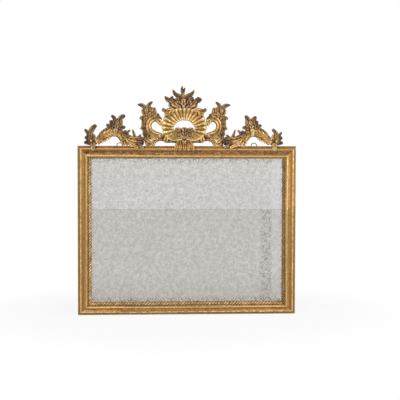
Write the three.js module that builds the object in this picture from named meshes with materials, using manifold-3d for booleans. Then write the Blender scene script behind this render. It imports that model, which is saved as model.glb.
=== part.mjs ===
// Overmantel mirror: a gilt frame with two mirror plates and a carved, pierced crest.
// Millimetres. +Z is up, +X is right seen from the front, the front faces -Y and the wall is at +Y.
// The origin is at the middle of the flat underside, on which the frame stands.
import * as THREE from 'three';
import { mergeVertices } from 'three/addons/utils/BufferGeometryUtils.js';
import Module from 'manifold-3d';

const wasm = await Module();
wasm.setup();

// ---- driving dimensions -------------------------------------------------------------------------
const FIT = 0.3;               // gap between pieces that touch
const FRAME_WIDTH = 1440;
const FRAME_HEIGHT = 1115;

// Back frame, four half-lapped pine members
const MEMBER_WIDTH = 78;
const MEMBER_DEPTH = 26;
const MEMBER_FRONT_Y = 2;

// Gilt moulding in front of the members, measured from the outer edge inwards
const FILLET_WIDTH = 10;
const FILLET_HEIGHT = 17;      // how far each form stands in front of the back members
const TORUS_WIDTH = 19;
const TORUS_HEIGHT = 30;
const COVE_WIDTH = 20;
const COVE_FLOOR = 14;
const RIDGE_WIDTH = 14;
const RIDGE_HEIGHT = 27;
const QUIRK_WIDTH = 3;
const QUIRK_HEIGHT = 15;
const ARC_STEPS = 5;

// Rope slip next to the glass
const ROPE_WIDTH = 24;
const ROPE_HEIGHT = 17;
const ROPE_LIP = 7;

// Mirror plates and what holds them in the rebate
const GLASS_THICKNESS = 4;
const GLASS_EDGE_CLEARANCE = 2;
const SEAM_HEIGHT = 696;       // height of the joint between the two plates
const BATTEN_WIDTH = 50;
const BATTEN_THICKNESS = 10;
const BLOCK_LENGTH = 60;
const BLOCK_WIDTH = 12;
const BLOCK_SPREAD = 400;      // blocks on the rails, from the middle
const BOARD_COUNT = 4;
const BOARD_THICKNESS = 9;
const BOARD_GAP = 0.6;

// Crest. It is drawn on a squared pattern: u runs right and v runs up, both in squares, from the
// crest's centre line and the top of the rail; relief is measured in squares from the flat back.
const SQUARE_COUNT = 144;      // squares across the frame's width
const CREST_SHIFT = -17;       // the crest stands a little left of the frame's middle
const CREST_BACK_Y = 17.7;

// Braces behind the shell and the inner scrolls, let into the top rail
const CENTRE_BRACE_WIDTH = 80;
const CENTRE_BRACE_RISE = 98;
const SIDE_BRACE_WIDTH = 34;
const SIDE_BRACE_RISE = 150;
const BRACE_DROP = 60;
const BRACE_SCREW_INSET = 32;  // from either end of a brace
const SCREW_LENGTH = 24;
const SCREW_SHANK_RADIUS = 2;
const SCREW_HEAD_RADIUS = 4;
const SCREW_HEAD_HEIGHT = 2;
const SCREW_SIDES = 8;
const HEAD_ROUND = { radius: 0.8, height: 0.7 };

// Hanging rings, each in the eye of a strap plate on the back of the top rail
const RING_OFFSET = 445;       // from the frame's middle
const RING_RADIUS = 18.5;
const RING_WIRE = 2.5;
const EYE_DROP = 17;           // the eye's axis, below the top of the frame
const EYE_CLEARANCE = 0.9;
const EYE_WIDTH = 9;
const STRAP_THICKNESS = 2.5;
const STRAP_WIDTH = 22;
const STRAP_MARGIN = 3;        // from the strap's lower end to the rail's lower edge
const STRAP_SCREW_DROP = 18.5; // the upper screw, below the eye's axis
const STRAP_SCREW_INSET = 9.5; // the lower screw, from the strap's lower end

// ---- what follows from them ---------------------------------------------------------------------
const HALF_WIDTH = FRAME_WIDTH / 2;
const MEMBER_BACK_Y = MEMBER_FRONT_Y + MEMBER_DEPTH;
const MOULD_WIDTH = FILLET_WIDTH + TORUS_WIDTH + COVE_WIDTH + RIDGE_WIDTH + QUIRK_WIDTH;
const MOULD_BACK_Y = MEMBER_FRONT_Y - FIT;
const MOULD_FRONT_Y = MEMBER_FRONT_Y - Math.max(TORUS_HEIGHT, RIDGE_HEIGHT, FILLET_HEIGHT);
const SIGHT_EDGE = MOULD_WIDTH + ROPE_WIDTH;
const REBATE_EDGE = MEMBER_WIDTH + FIT;
const GLASS_EDGE = MEMBER_WIDTH + GLASS_EDGE_CLEARANCE;
const GLASS_FRONT_Y = MOULD_BACK_Y + FIT;
const GLASS_BACK_Y = GLASS_FRONT_Y + GLASS_THICKNESS;
const PACKING_FRONT_Y = GLASS_BACK_Y + FIT;
const PACKING_BACK_Y = PACKING_FRONT_Y + BATTEN_THICKNESS;
const BOARD_FRONT_Y = PACKING_BACK_Y + FIT;
const SQUARE = FRAME_WIDTH / SQUARE_COUNT;
const SIDE_BRACE_OFFSET = 23.9 * SQUARE;
const BRACE_FRONT_Y = CREST_BACK_Y + FIT;
const BRACE_DEPTH = MEMBER_BACK_Y - BRACE_FRONT_Y;
const STRAP_LENGTH = MEMBER_WIDTH - EYE_DROP - STRAP_MARGIN;

// ---- solids -------------------------------------------------------------------------------------
const TETRAHEDRON_SHARE = 6;   // a tetrahedron is a sixth of the box its three edges span
const WELD_DISTANCE = 1e-4;

function volumeOf(positions, triangles) {
  let six = 0;
  const [a, b, c] = [new THREE.Vector3(), new THREE.Vector3(), new THREE.Vector3()];
  for (let i = 0; i < triangles.length; i += 3) {
    a.fromArray(positions, 3 * triangles[i]);
    b.fromArray(positions, 3 * triangles[i + 1]);
    c.fromArray(positions, 3 * triangles[i + 2]);
    six += a.dot(b.cross(c));
  }
  return six / TETRAHEDRON_SHARE;
}

// Turns a closed geometry into a solid with its faces pointing out.
function solid(geometry) {
  const bare = geometry.clone();
  bare.deleteAttribute('normal');
  bare.deleteAttribute('uv');
  const merged = mergeVertices(bare, WELD_DISTANCE);
  const positions = merged.attributes.position.array;
  const triangles = Uint32Array.from(merged.index.array);
  if (volumeOf(positions, triangles) < 0) triangles.reverse();
  return new wasm.Manifold(new wasm.Mesh({
    numProp: 3,
    vertProperties: Float32Array.from(positions),
    triVerts: triangles,
  }));
}

function geometryOf(body) {
  const mesh = body.getMesh();
  const geometry = new THREE.BufferGeometry();
  const positions = new Float32Array(mesh.numVert * 3);
  for (let i = 0; i < mesh.numVert; i += 1) {
    for (let k = 0; k < 3; k += 1) positions[3 * i + k] = mesh.vertProperties[i * mesh.numProp + k];
  }
  geometry.setAttribute('position', new THREE.BufferAttribute(positions, 3));
  geometry.setIndex(Array.from(mesh.triVerts));
  geometry.computeVertexNormals();
  return geometry;
}

function box(low, high) {
  const geometry = new THREE.BoxGeometry(high[0] - low[0], high[1] - low[1], high[2] - low[2]);
  geometry.translate((low[0] + high[0]) / 2, (low[1] + high[1]) / 2, (low[2] + high[2]) / 2);
  return geometry;
}

// A closed skin over a row of rings, each a list of as many [x, y, z] points.
function loft(rings) {
  const count = rings[0].length;
  const triangles = [];
  for (let r = 0; r + 1 < rings.length; r += 1) {
    for (let k = 0; k < count; k += 1) {
      const next = (k + 1) % count;
      const [a, b] = [r * count + k, r * count + next];
      triangles.push(a, b, b + count, a, b + count, a + count);
    }
  }
  const last = (rings.length - 1) * count;
  for (let k = 1; k + 1 < count; k += 1) {
    triangles.push(0, k + 1, k, last, last + k, last + k + 1);
  }
  const geometry = new THREE.BufferGeometry();
  geometry.setAttribute('position', new THREE.Float32BufferAttribute(rings.flat(2), 3));
  geometry.setIndex(triangles);
  return geometry;
}

// An outline in the plane of two axes, drawn out along the third from `start` to `end`.
function prism(outline, axis, start, end) {
  const turned = {
    x: ([a, b], s) => [s, a, b],
    z: ([a, b], s) => [a, b, s],
  }[axis];
  const shape = new THREE.Shape(outline.map(([a, b]) => new THREE.Vector2(a, b)));
  const geometry = new THREE.ExtrudeGeometry(shape, { depth: end - start, bevelEnabled: false });
  const position = geometry.attributes.position;
  for (let i = 0; i < position.count; i += 1) {
    const [x, y, z] = turned([position.getX(i), position.getY(i)], start + position.getZ(i));
    position.setXYZ(i, x, y, z);
  }
  return geometry;
}

// A round bar along +Y from y = start to y = end.
function barAlongY(x, z, radius, start, end, sides = SCREW_SIDES) {
  const geometry = new THREE.CylinderGeometry(radius, radius, end - start, sides);
  geometry.translate(x, (start + end) / 2, z);
  return geometry;
}

// ---- materials ----------------------------------------------------------------------------------
const finish = (color, roughness, metalness) => ({ color, roughness, metalness });
const GILT = finish(0xc39a52, 0.42, 0.75);
const GILT_PALE = finish(0xd8b777, 0.38, 0.8);
const GILT_DARK = finish(0x9a7237, 0.5, 0.65);
const MIRROR_UPPER = finish(0xcbcac7, 0.12, 0.95);
const MIRROR_LOWER = finish(0xbdb9b3, 0.14, 0.95);
const PINE = finish(0xa98258, 0.85, 0);
const PINE_DARK = finish(0x8d6b47, 0.88, 0);
const IRON = finish(0x3a3532, 0.6, 0.8);
const STEEL = finish(0x77736c, 0.45, 0.9);

const group = new THREE.Group();

function add(name, body, look) {
  const geometry = body instanceof THREE.BufferGeometry ? geometryOf(solid(body)) : geometryOf(body);
  const mesh = new THREE.Mesh(geometry, new THREE.MeshStandardMaterial(look));
  mesh.name = name;
  group.add(mesh);
  return mesh;
}

const SIDES = [['left', -1], ['right', 1]];

// ---- back frame ---------------------------------------------------------------------------------
const LAP_Y = (MEMBER_FRONT_Y + MEMBER_BACK_Y) / 2;
const LAP_LENGTH = MEMBER_WIDTH + FIT;

// A rail keeps its front half at the corners.
function backRail(low) {
  const lap = HALF_WIDTH - LAP_LENGTH;
  const outline = [
    [-HALF_WIDTH, MEMBER_FRONT_Y], [HALF_WIDTH, MEMBER_FRONT_Y], [HALF_WIDTH, LAP_Y], [lap, LAP_Y],
    [lap, MEMBER_BACK_Y], [-lap, MEMBER_BACK_Y], [-lap, LAP_Y], [-HALF_WIDTH, LAP_Y],
  ];
  return solid(prism(outline, 'z', low, low + MEMBER_WIDTH));
}

// A stile keeps its back half at the corners.
function backStile(side) {
  const lapBack = LAP_Y + FIT;
  const outline = [
    [lapBack, 0], [MEMBER_BACK_Y, 0], [MEMBER_BACK_Y, FRAME_HEIGHT], [lapBack, FRAME_HEIGHT],
    [lapBack, FRAME_HEIGHT - LAP_LENGTH], [MEMBER_FRONT_Y, FRAME_HEIGHT - LAP_LENGTH],
    [MEMBER_FRONT_Y, LAP_LENGTH], [lapBack, LAP_LENGTH],
  ];
  const outer = side * HALF_WIDTH;
  const inner = side * (HALF_WIDTH - MEMBER_WIDTH);
  return solid(prism(outline, 'x', Math.min(outer, inner), Math.max(outer, inner)));
}

// ---- fasteners ----------------------------------------------------------------------------------
// A round-head screw driven from the back: its head seats behind y = seat and its shank points at -Y.
function screw(x, z, seat, length) {
  const under = seat + FIT;
  const profile = [
    [0, -length], [SCREW_SHANK_RADIUS / 2, -length], [SCREW_SHANK_RADIUS, -length + SCREW_SHANK_RADIUS],
    [SCREW_SHANK_RADIUS, 0], [SCREW_HEAD_RADIUS, 0],
    [SCREW_HEAD_RADIUS * HEAD_ROUND.radius, SCREW_HEAD_HEIGHT * HEAD_ROUND.height],
    [0, SCREW_HEAD_HEIGHT],
  ];
  const geometry = new THREE.LatheGeometry(profile.map(([r, y]) => new THREE.Vector2(r, y)), SCREW_SIDES);
  geometry.translate(x, under, z);
  return solid(geometry);
}

function screwHole(x, z, seat, length) {
  return solid(barAlongY(x, z, SCREW_SHANK_RADIUS + FIT, seat - length - FIT, seat + 2 * FIT));
}

const braces = [
  { name: 'centre', x: CREST_SHIFT, width: CENTRE_BRACE_WIDTH, rise: CENTRE_BRACE_RISE },
  ...SIDES.map(([name, side]) => ({
    name, x: CREST_SHIFT + side * SIDE_BRACE_OFFSET, width: SIDE_BRACE_WIDTH, rise: SIDE_BRACE_RISE,
  })),
];
const braceScrewZ = ({ rise }) => ({
  rail: FRAME_HEIGHT - BRACE_DROP + BRACE_SCREW_INSET, crest: FRAME_HEIGHT + rise - BRACE_SCREW_INSET,
});
const strapCentres = SIDES.map(([name, side]) => ({ name, x: side * RING_OFFSET }));
const EYE_Z = FRAME_HEIGHT - EYE_DROP;
const EYE_BORE = RING_WIRE + EYE_CLEARANCE;
const EYE_RADIUS = EYE_BORE + STRAP_THICKNESS;
const STRAP_FRONT_Y = MEMBER_BACK_Y + FIT;
const STRAP_BACK_Y = STRAP_FRONT_Y + STRAP_THICKNESS;
const EYE_Y = STRAP_FRONT_Y + EYE_RADIUS;
const strapScrewZ = [STRAP_SCREW_DROP, STRAP_LENGTH - STRAP_SCREW_INSET].map((drop) => EYE_Z - drop);

const braceHoles = braces.flatMap((brace) => Object.values(braceScrewZ(brace))
  .map((z) => screwHole(brace.x, z, MEMBER_BACK_Y, SCREW_LENGTH)));
const strapHoles = strapCentres.flatMap(({ x }) => strapScrewZ
  .map((z) => screwHole(x, z, STRAP_BACK_Y, SCREW_LENGTH)));

let topRail = backRail(FRAME_HEIGHT - MEMBER_WIDTH);
for (const { x, width } of braces) {
  const reach = width / 2 + FIT;
  topRail = topRail.subtract(solid(box(
    [x - reach, CREST_BACK_Y, FRAME_HEIGHT - BRACE_DROP - FIT],
    [x + reach, MEMBER_BACK_Y + FIT, FRAME_HEIGHT + FIT],
  )));
}
for (const hole of [...braceHoles, ...strapHoles]) topRail = topRail.subtract(hole);

add('back_rail_top', topRail, PINE_DARK);
add('back_rail_bottom', backRail(0), PINE_DARK);
for (const [name, side] of SIDES) add(`back_stile_${name}`, backStile(side), PINE_DARK);

// ---- mouldings ----------------------------------------------------------------------------------
// Points of a rounded form from `from` to `to`, standing `height` forward at its middle (or hollow).
function roundedForm(from, to, startHeight, crown, endHeight, steps = ARC_STEPS) {
  const points = [];
  for (let i = 0; i <= steps; i += 1) {
    const t = i / steps;
    const base = startHeight + (endHeight - startHeight) * t;
    const bulge = (crown - (startHeight + endHeight) / 2) * Math.sin(Math.PI * t);
    points.push([from + (to - from) * t, base + bulge]);
  }
  return points;
}

function mouldingProfile() {
  const torusStart = FILLET_WIDTH;
  const coveStart = torusStart + TORUS_WIDTH;
  const ridgeStart = coveStart + COVE_WIDTH;
  const quirkStart = ridgeStart + RIDGE_WIDTH;
  const torusShoulder = (TORUS_HEIGHT + FILLET_HEIGHT) / 2;
  const ridgeShoulder = (RIDGE_HEIGHT + QUIRK_HEIGHT) / 2;
  return [
    [0, FIT], [0, FILLET_HEIGHT],
    ...roundedForm(torusStart, coveStart, FILLET_HEIGHT, TORUS_HEIGHT, torusShoulder),
    ...roundedForm(coveStart, ridgeStart, torusShoulder, COVE_FLOOR, ridgeShoulder).slice(1, -1),
    ...roundedForm(ridgeStart, quirkStart, ridgeShoulder, RIDGE_HEIGHT, QUIRK_HEIGHT),
    [MOULD_WIDTH, QUIRK_HEIGHT], [MOULD_WIDTH, FIT],
  ];
}

function ropeProfile() {
  const start = MOULD_WIDTH + FIT;
  return [
    [start, FIT], [start, ROPE_LIP],
    ...roundedForm(start, SIGHT_EDGE, ROPE_LIP, ROPE_HEIGHT, ROPE_LIP).slice(1, -1),
    [SIGHT_EDGE, ROPE_LIP], [SIGHT_EDGE, FIT],
  ];
}

// A strip along one side of the frame with mitred ends; a profile point is [inward, forward].
function mitredStrip(profile, sideName) {
  const reach = { top: HALF_WIDTH, bottom: HALF_WIDTH, left: FRAME_HEIGHT / 2, right: FRAME_HEIGHT / 2 };
  const at = {
    top: (s, w, y) => [s, y, FRAME_HEIGHT - w],
    bottom: (s, w, y) => [s, y, w],
    left: (s, w, y) => [-HALF_WIDTH + w, y, FRAME_HEIGHT / 2 + s],
    right: (s, w, y) => [HALF_WIDTH - w, y, FRAME_HEIGHT / 2 + s],
  }[sideName];
  const end = (sign) => profile.map(([w, h]) => at(
    sign * (reach[sideName] - w - FIT / 2), w, MEMBER_FRONT_Y - h,
  ));
  return solid(loft([end(-1), end(1)]));
}

const FRAME_SIDES = ['top', 'bottom', 'left', 'right'];
for (const side of FRAME_SIDES) add(`moulding_${side}`, mitredStrip(mouldingProfile(), side), GILT);
for (const side of FRAME_SIDES) add(`rope_slip_${side}`, mitredStrip(ropeProfile(), side), GILT_DARK);

// ---- mirror plates, batten, blocks and backboards -----------------------------------------------
function panel(low, high, front, back, edge) {
  return box([-HALF_WIDTH + edge, front, low], [HALF_WIDTH - edge, back, high]);
}

const plate = (low, high) => panel(low, high, GLASS_FRONT_Y, GLASS_BACK_Y, GLASS_EDGE);
const [battenLow, battenHigh] = [SEAM_HEIGHT - BATTEN_WIDTH / 2, SEAM_HEIGHT + BATTEN_WIDTH / 2];
add('mirror_plate_upper', plate(SEAM_HEIGHT + FIT / 2, FRAME_HEIGHT - GLASS_EDGE), MIRROR_UPPER);
add('mirror_plate_lower', plate(GLASS_EDGE, SEAM_HEIGHT - FIT / 2), MIRROR_LOWER);
add('seam_batten', panel(battenLow, battenHigh, PACKING_FRONT_Y, PACKING_BACK_Y, REBATE_EDGE), PINE);

// A block lies against the rebate wall; `across` is its middle along that wall.
function glassBlock(side, across) {
  const [a, b] = [across - BLOCK_LENGTH / 2, across + BLOCK_LENGTH / 2];
  const [near, far] = [REBATE_EDGE, REBATE_EDGE + BLOCK_WIDTH];
  const [[x0, z0], [x1, z1]] = {
    top: [[a, FRAME_HEIGHT - far], [b, FRAME_HEIGHT - near]],
    bottom: [[a, near], [b, far]],
    left: [[-HALF_WIDTH + near, a], [-HALF_WIDTH + far, b]],
    right: [[HALF_WIDTH - far, a], [HALF_WIDTH - near, b]],
  }[side];
  return box([x0, PACKING_FRONT_Y, z0], [x1, PACKING_BACK_Y, z1]);
}

// The rails have a block on either side of the middle, the stiles one at the middle of each plate.
for (const side of FRAME_SIDES) {
  const level = side === 'top' || side === 'bottom';
  const places = level ? [-BLOCK_SPREAD, BLOCK_SPREAD]
    : [(GLASS_EDGE + SEAM_HEIGHT) / 2, (SEAM_HEIGHT + FRAME_HEIGHT - GLASS_EDGE) / 2];
  places.forEach((across, i) => add(`glass_block_${side}_${i + 1}`, glassBlock(side, across), PINE));
}

const boardsLow = REBATE_EDGE + BOARD_GAP / 2;
const boardPitch = (FRAME_HEIGHT - 2 * boardsLow + BOARD_GAP) / BOARD_COUNT;
for (let i = 0; i < BOARD_COUNT; i += 1) {
  const low = boardsLow + i * boardPitch;
  add(`backboard_${i + 1}`, panel(
    low, low + boardPitch - BOARD_GAP, BOARD_FRONT_Y, BOARD_FRONT_Y + BOARD_THICKNESS, REBATE_EDGE,
  ), PINE);
}

// ---- carving ------------------------------------------------------------------------------------
// A pattern point in squares becomes a point of the crest.
const place = (u, v, relief) => [
  CREST_SHIFT + u * SQUARE, CREST_BACK_Y - relief * SQUARE, FRAME_HEIGHT + FIT + v * SQUARE,
];

// Value at t (0 to 1) of a list of values that lie at even steps.
function along(values, t) {
  if (!Array.isArray(values)) return values;
  const s = t * (values.length - 1);
  const i = Math.min(Math.floor(s), values.length - 2);
  return values[i] + (values[i + 1] - values[i]) * (s - i);
}

// A carved leaf or scroll limb: `spine` points are [u, v, relief of the edges], `half` the half-width,
// `crown` how far the face stands over the edges, `vein` the depth of the middle groove (0 for a plain
// ridge), `lobes` how many lobes the edge has. A limb with `flat` reaches back to the ground; a leaf is
// lens-shaped and `back` thick behind its edges.
const LOBE_DEPTH = 0.24;
const LOBE_START = 0.4;
const VEIN_SHOULDER = 0.5;     // where the two crowns beside a vein stand, as a share of the half-width
const THIN_RISE = 0.35;        // part of the crown that even a thin tip keeps

function limb(spec, side, grow = 0) {
  const { spine, half, crown = 1, vein = 0.35, lobes = 0, flat = false, back = 0.7, steps = 6 } = spec;
  const points = spine.map(([u, v, edge]) => new THREE.Vector3(u, v, edge));
  const curve = new THREE.CatmullRomCurve3(points, false, 'centripetal');
  const rings = [];
  for (let i = 0; i <= steps; i += 1) {
    const t = i / steps;
    const p = curve.getPoint(t);
    const tangent = curve.getTangent(t).setZ(0).normalize();
    const notch = lobes ? 1 - Math.abs(Math.sin(Math.PI * lobes * t + LOBE_START)) : 0;
    const w = along(half, t) * (1 - LOBE_DEPTH * notch) + grow;
    const rise = crown * Math.min(1, THIN_RISE + along(half, t)) + grow;
    let end = 0;
    if (i === 0) end = -grow;
    if (i === steps) end = grow;
    const at = (share, relief) => {
      const u = p.x - tangent.y * w * share + tangent.x * end;
      const v = p.y + tangent.x * w * share + tangent.y * end;
      return place(side * u, v, relief);
    };
    const crest = p.z + rise;
    const valley = at(0, crest - rise * vein);
    const face = vein ? [at(VEIN_SHOULDER, crest), valley, at(-VEIN_SHOULDER, crest)] : [valley];
    const behind = flat ? [at(-1, -grow), at(1, -grow)] : [at(0, Math.max(p.z - back, 0) - grow)];
    rings.push([at(1, p.z), ...face, at(-1, p.z), ...behind]);
  }
  return solid(loft(rings));
}

// A round carved boss, such as a bud or a volute's eye.
const BOSS_PROFILE = [[0, 0], [1, 0], [1, 0.6], [0.7, 0.9], [0, 1]];
const BOSS_SIDES = 8;

function boss({ at: [u, v], radius, from = 0, top }, side, grow = 0) {
  const r = (radius + grow) * SQUARE;
  const [low, high] = [(from - grow) * SQUARE, (top + grow) * SQUARE];
  const profile = BOSS_PROFILE.map(([out, up]) => new THREE.Vector2(r * out, low + (high - low) * up));
  const geometry = new THREE.LatheGeometry(profile, BOSS_SIDES);
  geometry.rotateX(Math.PI);
  const [x, y, z] = place(side * u, v, 0);
  geometry.translate(x, y, z);
  return solid(geometry);
}

const shapeOf = (spec, side, grow) => (spec.spine ? limb(spec, side, grow) : boss(spec, side, grow));
const joined = (bodies) => bodies.reduce((whole, body) => whole.add(body));
const carving = (specs, side, grow = 0) => joined(specs.map((spec) => shapeOf(spec, side, grow)));

// The crest stands on the rail and laps over its face.
const railRoom = solid(box(
  [-FRAME_WIDTH, MOULD_FRONT_Y - FIT, 0], [FRAME_WIDTH, MEMBER_BACK_Y + MEMBER_DEPTH, FRAME_HEIGHT + FIT],
));

const braceHoleRoom = joined(braceHoles);

// Fits a carved piece to the rail, the brace screws and the pieces it meets; chips are dropped.
function fitted(body, neighbours = []) {
  let whole = body.subtract(railRoom).subtract(braceHoleRoom);
  for (const neighbour of neighbours) whole = whole.subtract(neighbour);
  const pieces = whole.decompose();
  return pieces.reduce((best, piece) => (piece.volume() > best.volume() ? piece : best));
}

const CUT = FIT / SQUARE;      // the fit, in squares

// Shell: flutes fan out round an opening. The radii are those of one half of the fan, from its lower
// end up to the middle flute.
const SHELL = {
  centre: [0, 11.2], flutes: 21, perFlute: 3, from: -78, scallop: 0.04, hollow: 0.6,
  outer: [8.2, 9, 11.2, 12.9, 14, 14.4, 15.3, 16.4, 15.6, 14, 13.5],
  inner: [2.6, 2.9, 3.4, 4.2, 5.4, 7.4, 6.7, 6.4, 6.1, 5.7, 5.4],
};
const bothHalves = (values) => [...values, ...values.toReversed()];

function shellFan(grow = 0) {
  const { centre, flutes, perFlute, from, scallop, outer, inner } = SHELL;
  const rings = [];
  const count = flutes * perFlute;
  for (let i = 0; i <= count; i += 1) {
    const t = i / count;
    const angle = THREE.MathUtils.degToRad(from + 2 * (90 - from) * t);
    const wave = 0.5 - 0.5 * Math.cos(2 * Math.PI * flutes * t);
    const far = along(bothHalves(outer), t) * (1 - scallop * (1 - wave)) + grow;
    const near = along(bothHalves(inner), t) * (1 + scallop * (1 - wave)) - grow;
    const hollow = SHELL.hollow * wave;
    const at = (share, relief) => {
      const r = near + (far - near) * share;
      return place(centre[0] + r * Math.cos(angle), centre[1] + r * Math.sin(angle), relief);
    };
    rings.push([
      at(0, 0.6 - grow), at(0, 2.7 - hollow + grow), at(0.6, 2.8 - hollow + grow),
      at(1, 4.6 - hollow + grow), at(1, 3.6 - hollow - grow), at(0.6, -grow),
    ]);
  }
  return solid(loft(rings));
}

const SHELL_TRIM = [
  { spine: [[-6, 8.4, 1.2], [0, 7.8, 1.2], [6, 8.4, 1.2]], half: 2.6, crown: 0.4, vein: 0, flat: true,
    steps: 3 },
  ...[-1, 1].flatMap((m) => [
    { spine: [[m * 6.8, 22.6, 3.2], [m * 10.4, 22.7, 3.4], [m * 13.8, 23, 3.4]], half: [1.8, 2.5, 1.5],
      back: 2.2, steps: 4 },
    { spine: [[m * 13.4, 22.6, 3.2], [m * 14.6, 23.6, 3.2], [m * 14.1, 24.8, 3.4]], half: [0.9, 0.8, 0.35],
      vein: 0, steps: 3 },
    { at: [m * 14, 23.1], radius: 1.2, from: 2.2, top: 4.9 },
  ]),
];

const KNOP = [
  { spine: [[0, 8, 2.8], [0, 10.4, 3.2], [0, 12, 3.4]], half: [1.8, 2.1, 1.3], crown: 1.2, steps: 4 },
  ...[-1, 1].flatMap((m) => [
    { spine: [[m * 1, 8.4, 2.8], [m * 3.1, 10.3, 3.2], [m * 5.4, 10.6, 3.3]],
      half: [1.5, 1.7, 0.9], steps: 4 },
    { spine: [[m * 2.2, 9.2, 3], [m * 4.7, 9, 3.2], [m * 5.5, 7, 3.2], [m * 4.5, 5.2, 3.2],
      [m * 2.8, 5.2, 3]],
      half: [0.7, 0.9, 0.9, 0.9, 0.6], crown: 1.3, vein: 0, back: 2.4, steps: 7 },
    { at: [m * 3.4, 7.3], radius: 1.1, from: 1.4, top: 4.2 },
  ]),
  { spine: [[0, 9, 2.2], [0, 6.8, 2.4], [0, 4.6, 2.6]],
    half: [2.6, 2.8, 2.4], crown: 1.4, back: 1.4, steps: 3 },
];

const DROP_CLAWS = [-5.4, -2.7, 0, 2.7, 5.4];
const DROP = [
  { spine: [[0, 5.4, 3], [0, 3.4, 3.4], [0, 1.2, 3.8], [0, -1.2, 4.6]], half: [3, 4.5, 3.8, 4.8],
    crown: 1, flat: true, steps: 5 },
  ...DROP_CLAWS.map((u) => ({
    spine: [[u * 0.7, 1, 4.6], [u * 0.95, -1.2, 5.2], [u * 1.08, -3, 5]], half: [1.1, 1.25, 0.5], crown: 0.8,
    vein: 0, steps: 4,
  })),
];

const FINIAL = [
  { spine: [[-0.6, 24, 2.2], [-0.6, 27, 2.4], [-0.5, 29.6, 2.4], [-0.5, 32.2, 2.3]],
    half: [6.8, 8.6, 7.6, 2.4],
    crown: 1.2, lobes: 3, back: 1.6, steps: 8 },
  { spine: [[-1, 31.6, 2.6], [-3.8, 32.8, 2.9], [-6.1, 34.3, 3.4], [-7.3, 36.5, 4]],
    half: [1.6, 1.6, 1.3, 0.4] },
  { spine: [[0.4, 31.6, 2.6], [3, 33, 2.9], [5.2, 34.3, 3.4], [6.5, 36.1, 4]], half: [1.6, 1.6, 1.3, 0.4] },
  { spine: [[-0.6, 31.4, 2.6], [-0.9, 35.4, 2.8], [-0.8, 39, 3.2]],
    half: [1.5, 1.3, 0.35], crown: 1.3, steps: 5 },
  { spine: [[-0.6, 34.6, 2.8], [0.1, 36.6, 3], [0.6, 38.1, 3.4]],
    half: [0.8, 0.8, 0.35], vein: 0, steps: 3 },
  { spine: [[-5, 28, 2.6], [-8.4, 29.5, 2.9], [-10.9, 30.7, 3.4], [-12.6, 32.1, 4]],
    half: [2.2, 2, 1.6, 0.5] },
  { spine: [[-6.4, 28.6, 2.8], [-7.4, 30.4, 3], [-7.8, 32.1, 3.4]],
    half: [1.6, 1.3, 0.6], vein: 0, steps: 4 },
  { spine: [[5, 28, 2.6], [7.9, 29, 2.9], [9.7, 30, 3.3], [11, 31.3, 3.9]], half: [2.2, 2, 1.7, 0.9] },
  { spine: [[5.8, 28.6, 2.8], [7, 30.3, 3], [7.6, 31.9, 3.4]], half: [1.6, 1.3, 0.6], vein: 0, steps: 4 },
  { at: [-4.8, 29.6], radius: 1.7, from: 2, top: 4.6 },
  { at: [4.4, 29.6], radius: 1.7, from: 2, top: 4.6 },
  { at: [-0.4, 26.4], radius: 1.3, from: 2, top: 4.8 },
];

const BASE_SCROLL = [
  { spine: [[4.4, 3.6, 1.6], [7.8, 4, 1.8], [11, 4.2, 2]], half: [1.7, 1.2, 1.6], crown: 0.9, flat: true,
    steps: 4 },
  { spine: [[12.5, 6.6, 2.2], [12.6, 4.2, 2.4], [11.9, 1.4, 2.8]], half: [1.7, 2.3, 0.9], back: 1.8,
    steps: 5 },
  { spine: [[13, 4.9, 1.8], [15.8, 4.9, 1.9], [18.3, 4, 1.8], [19.8, 2.1, 1.7], [20.4, 0, 1.6]],
    half: [1.7, 1.7, 1.6, 1.4, 1.2], crown: 0.9, flat: true },
];

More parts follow.
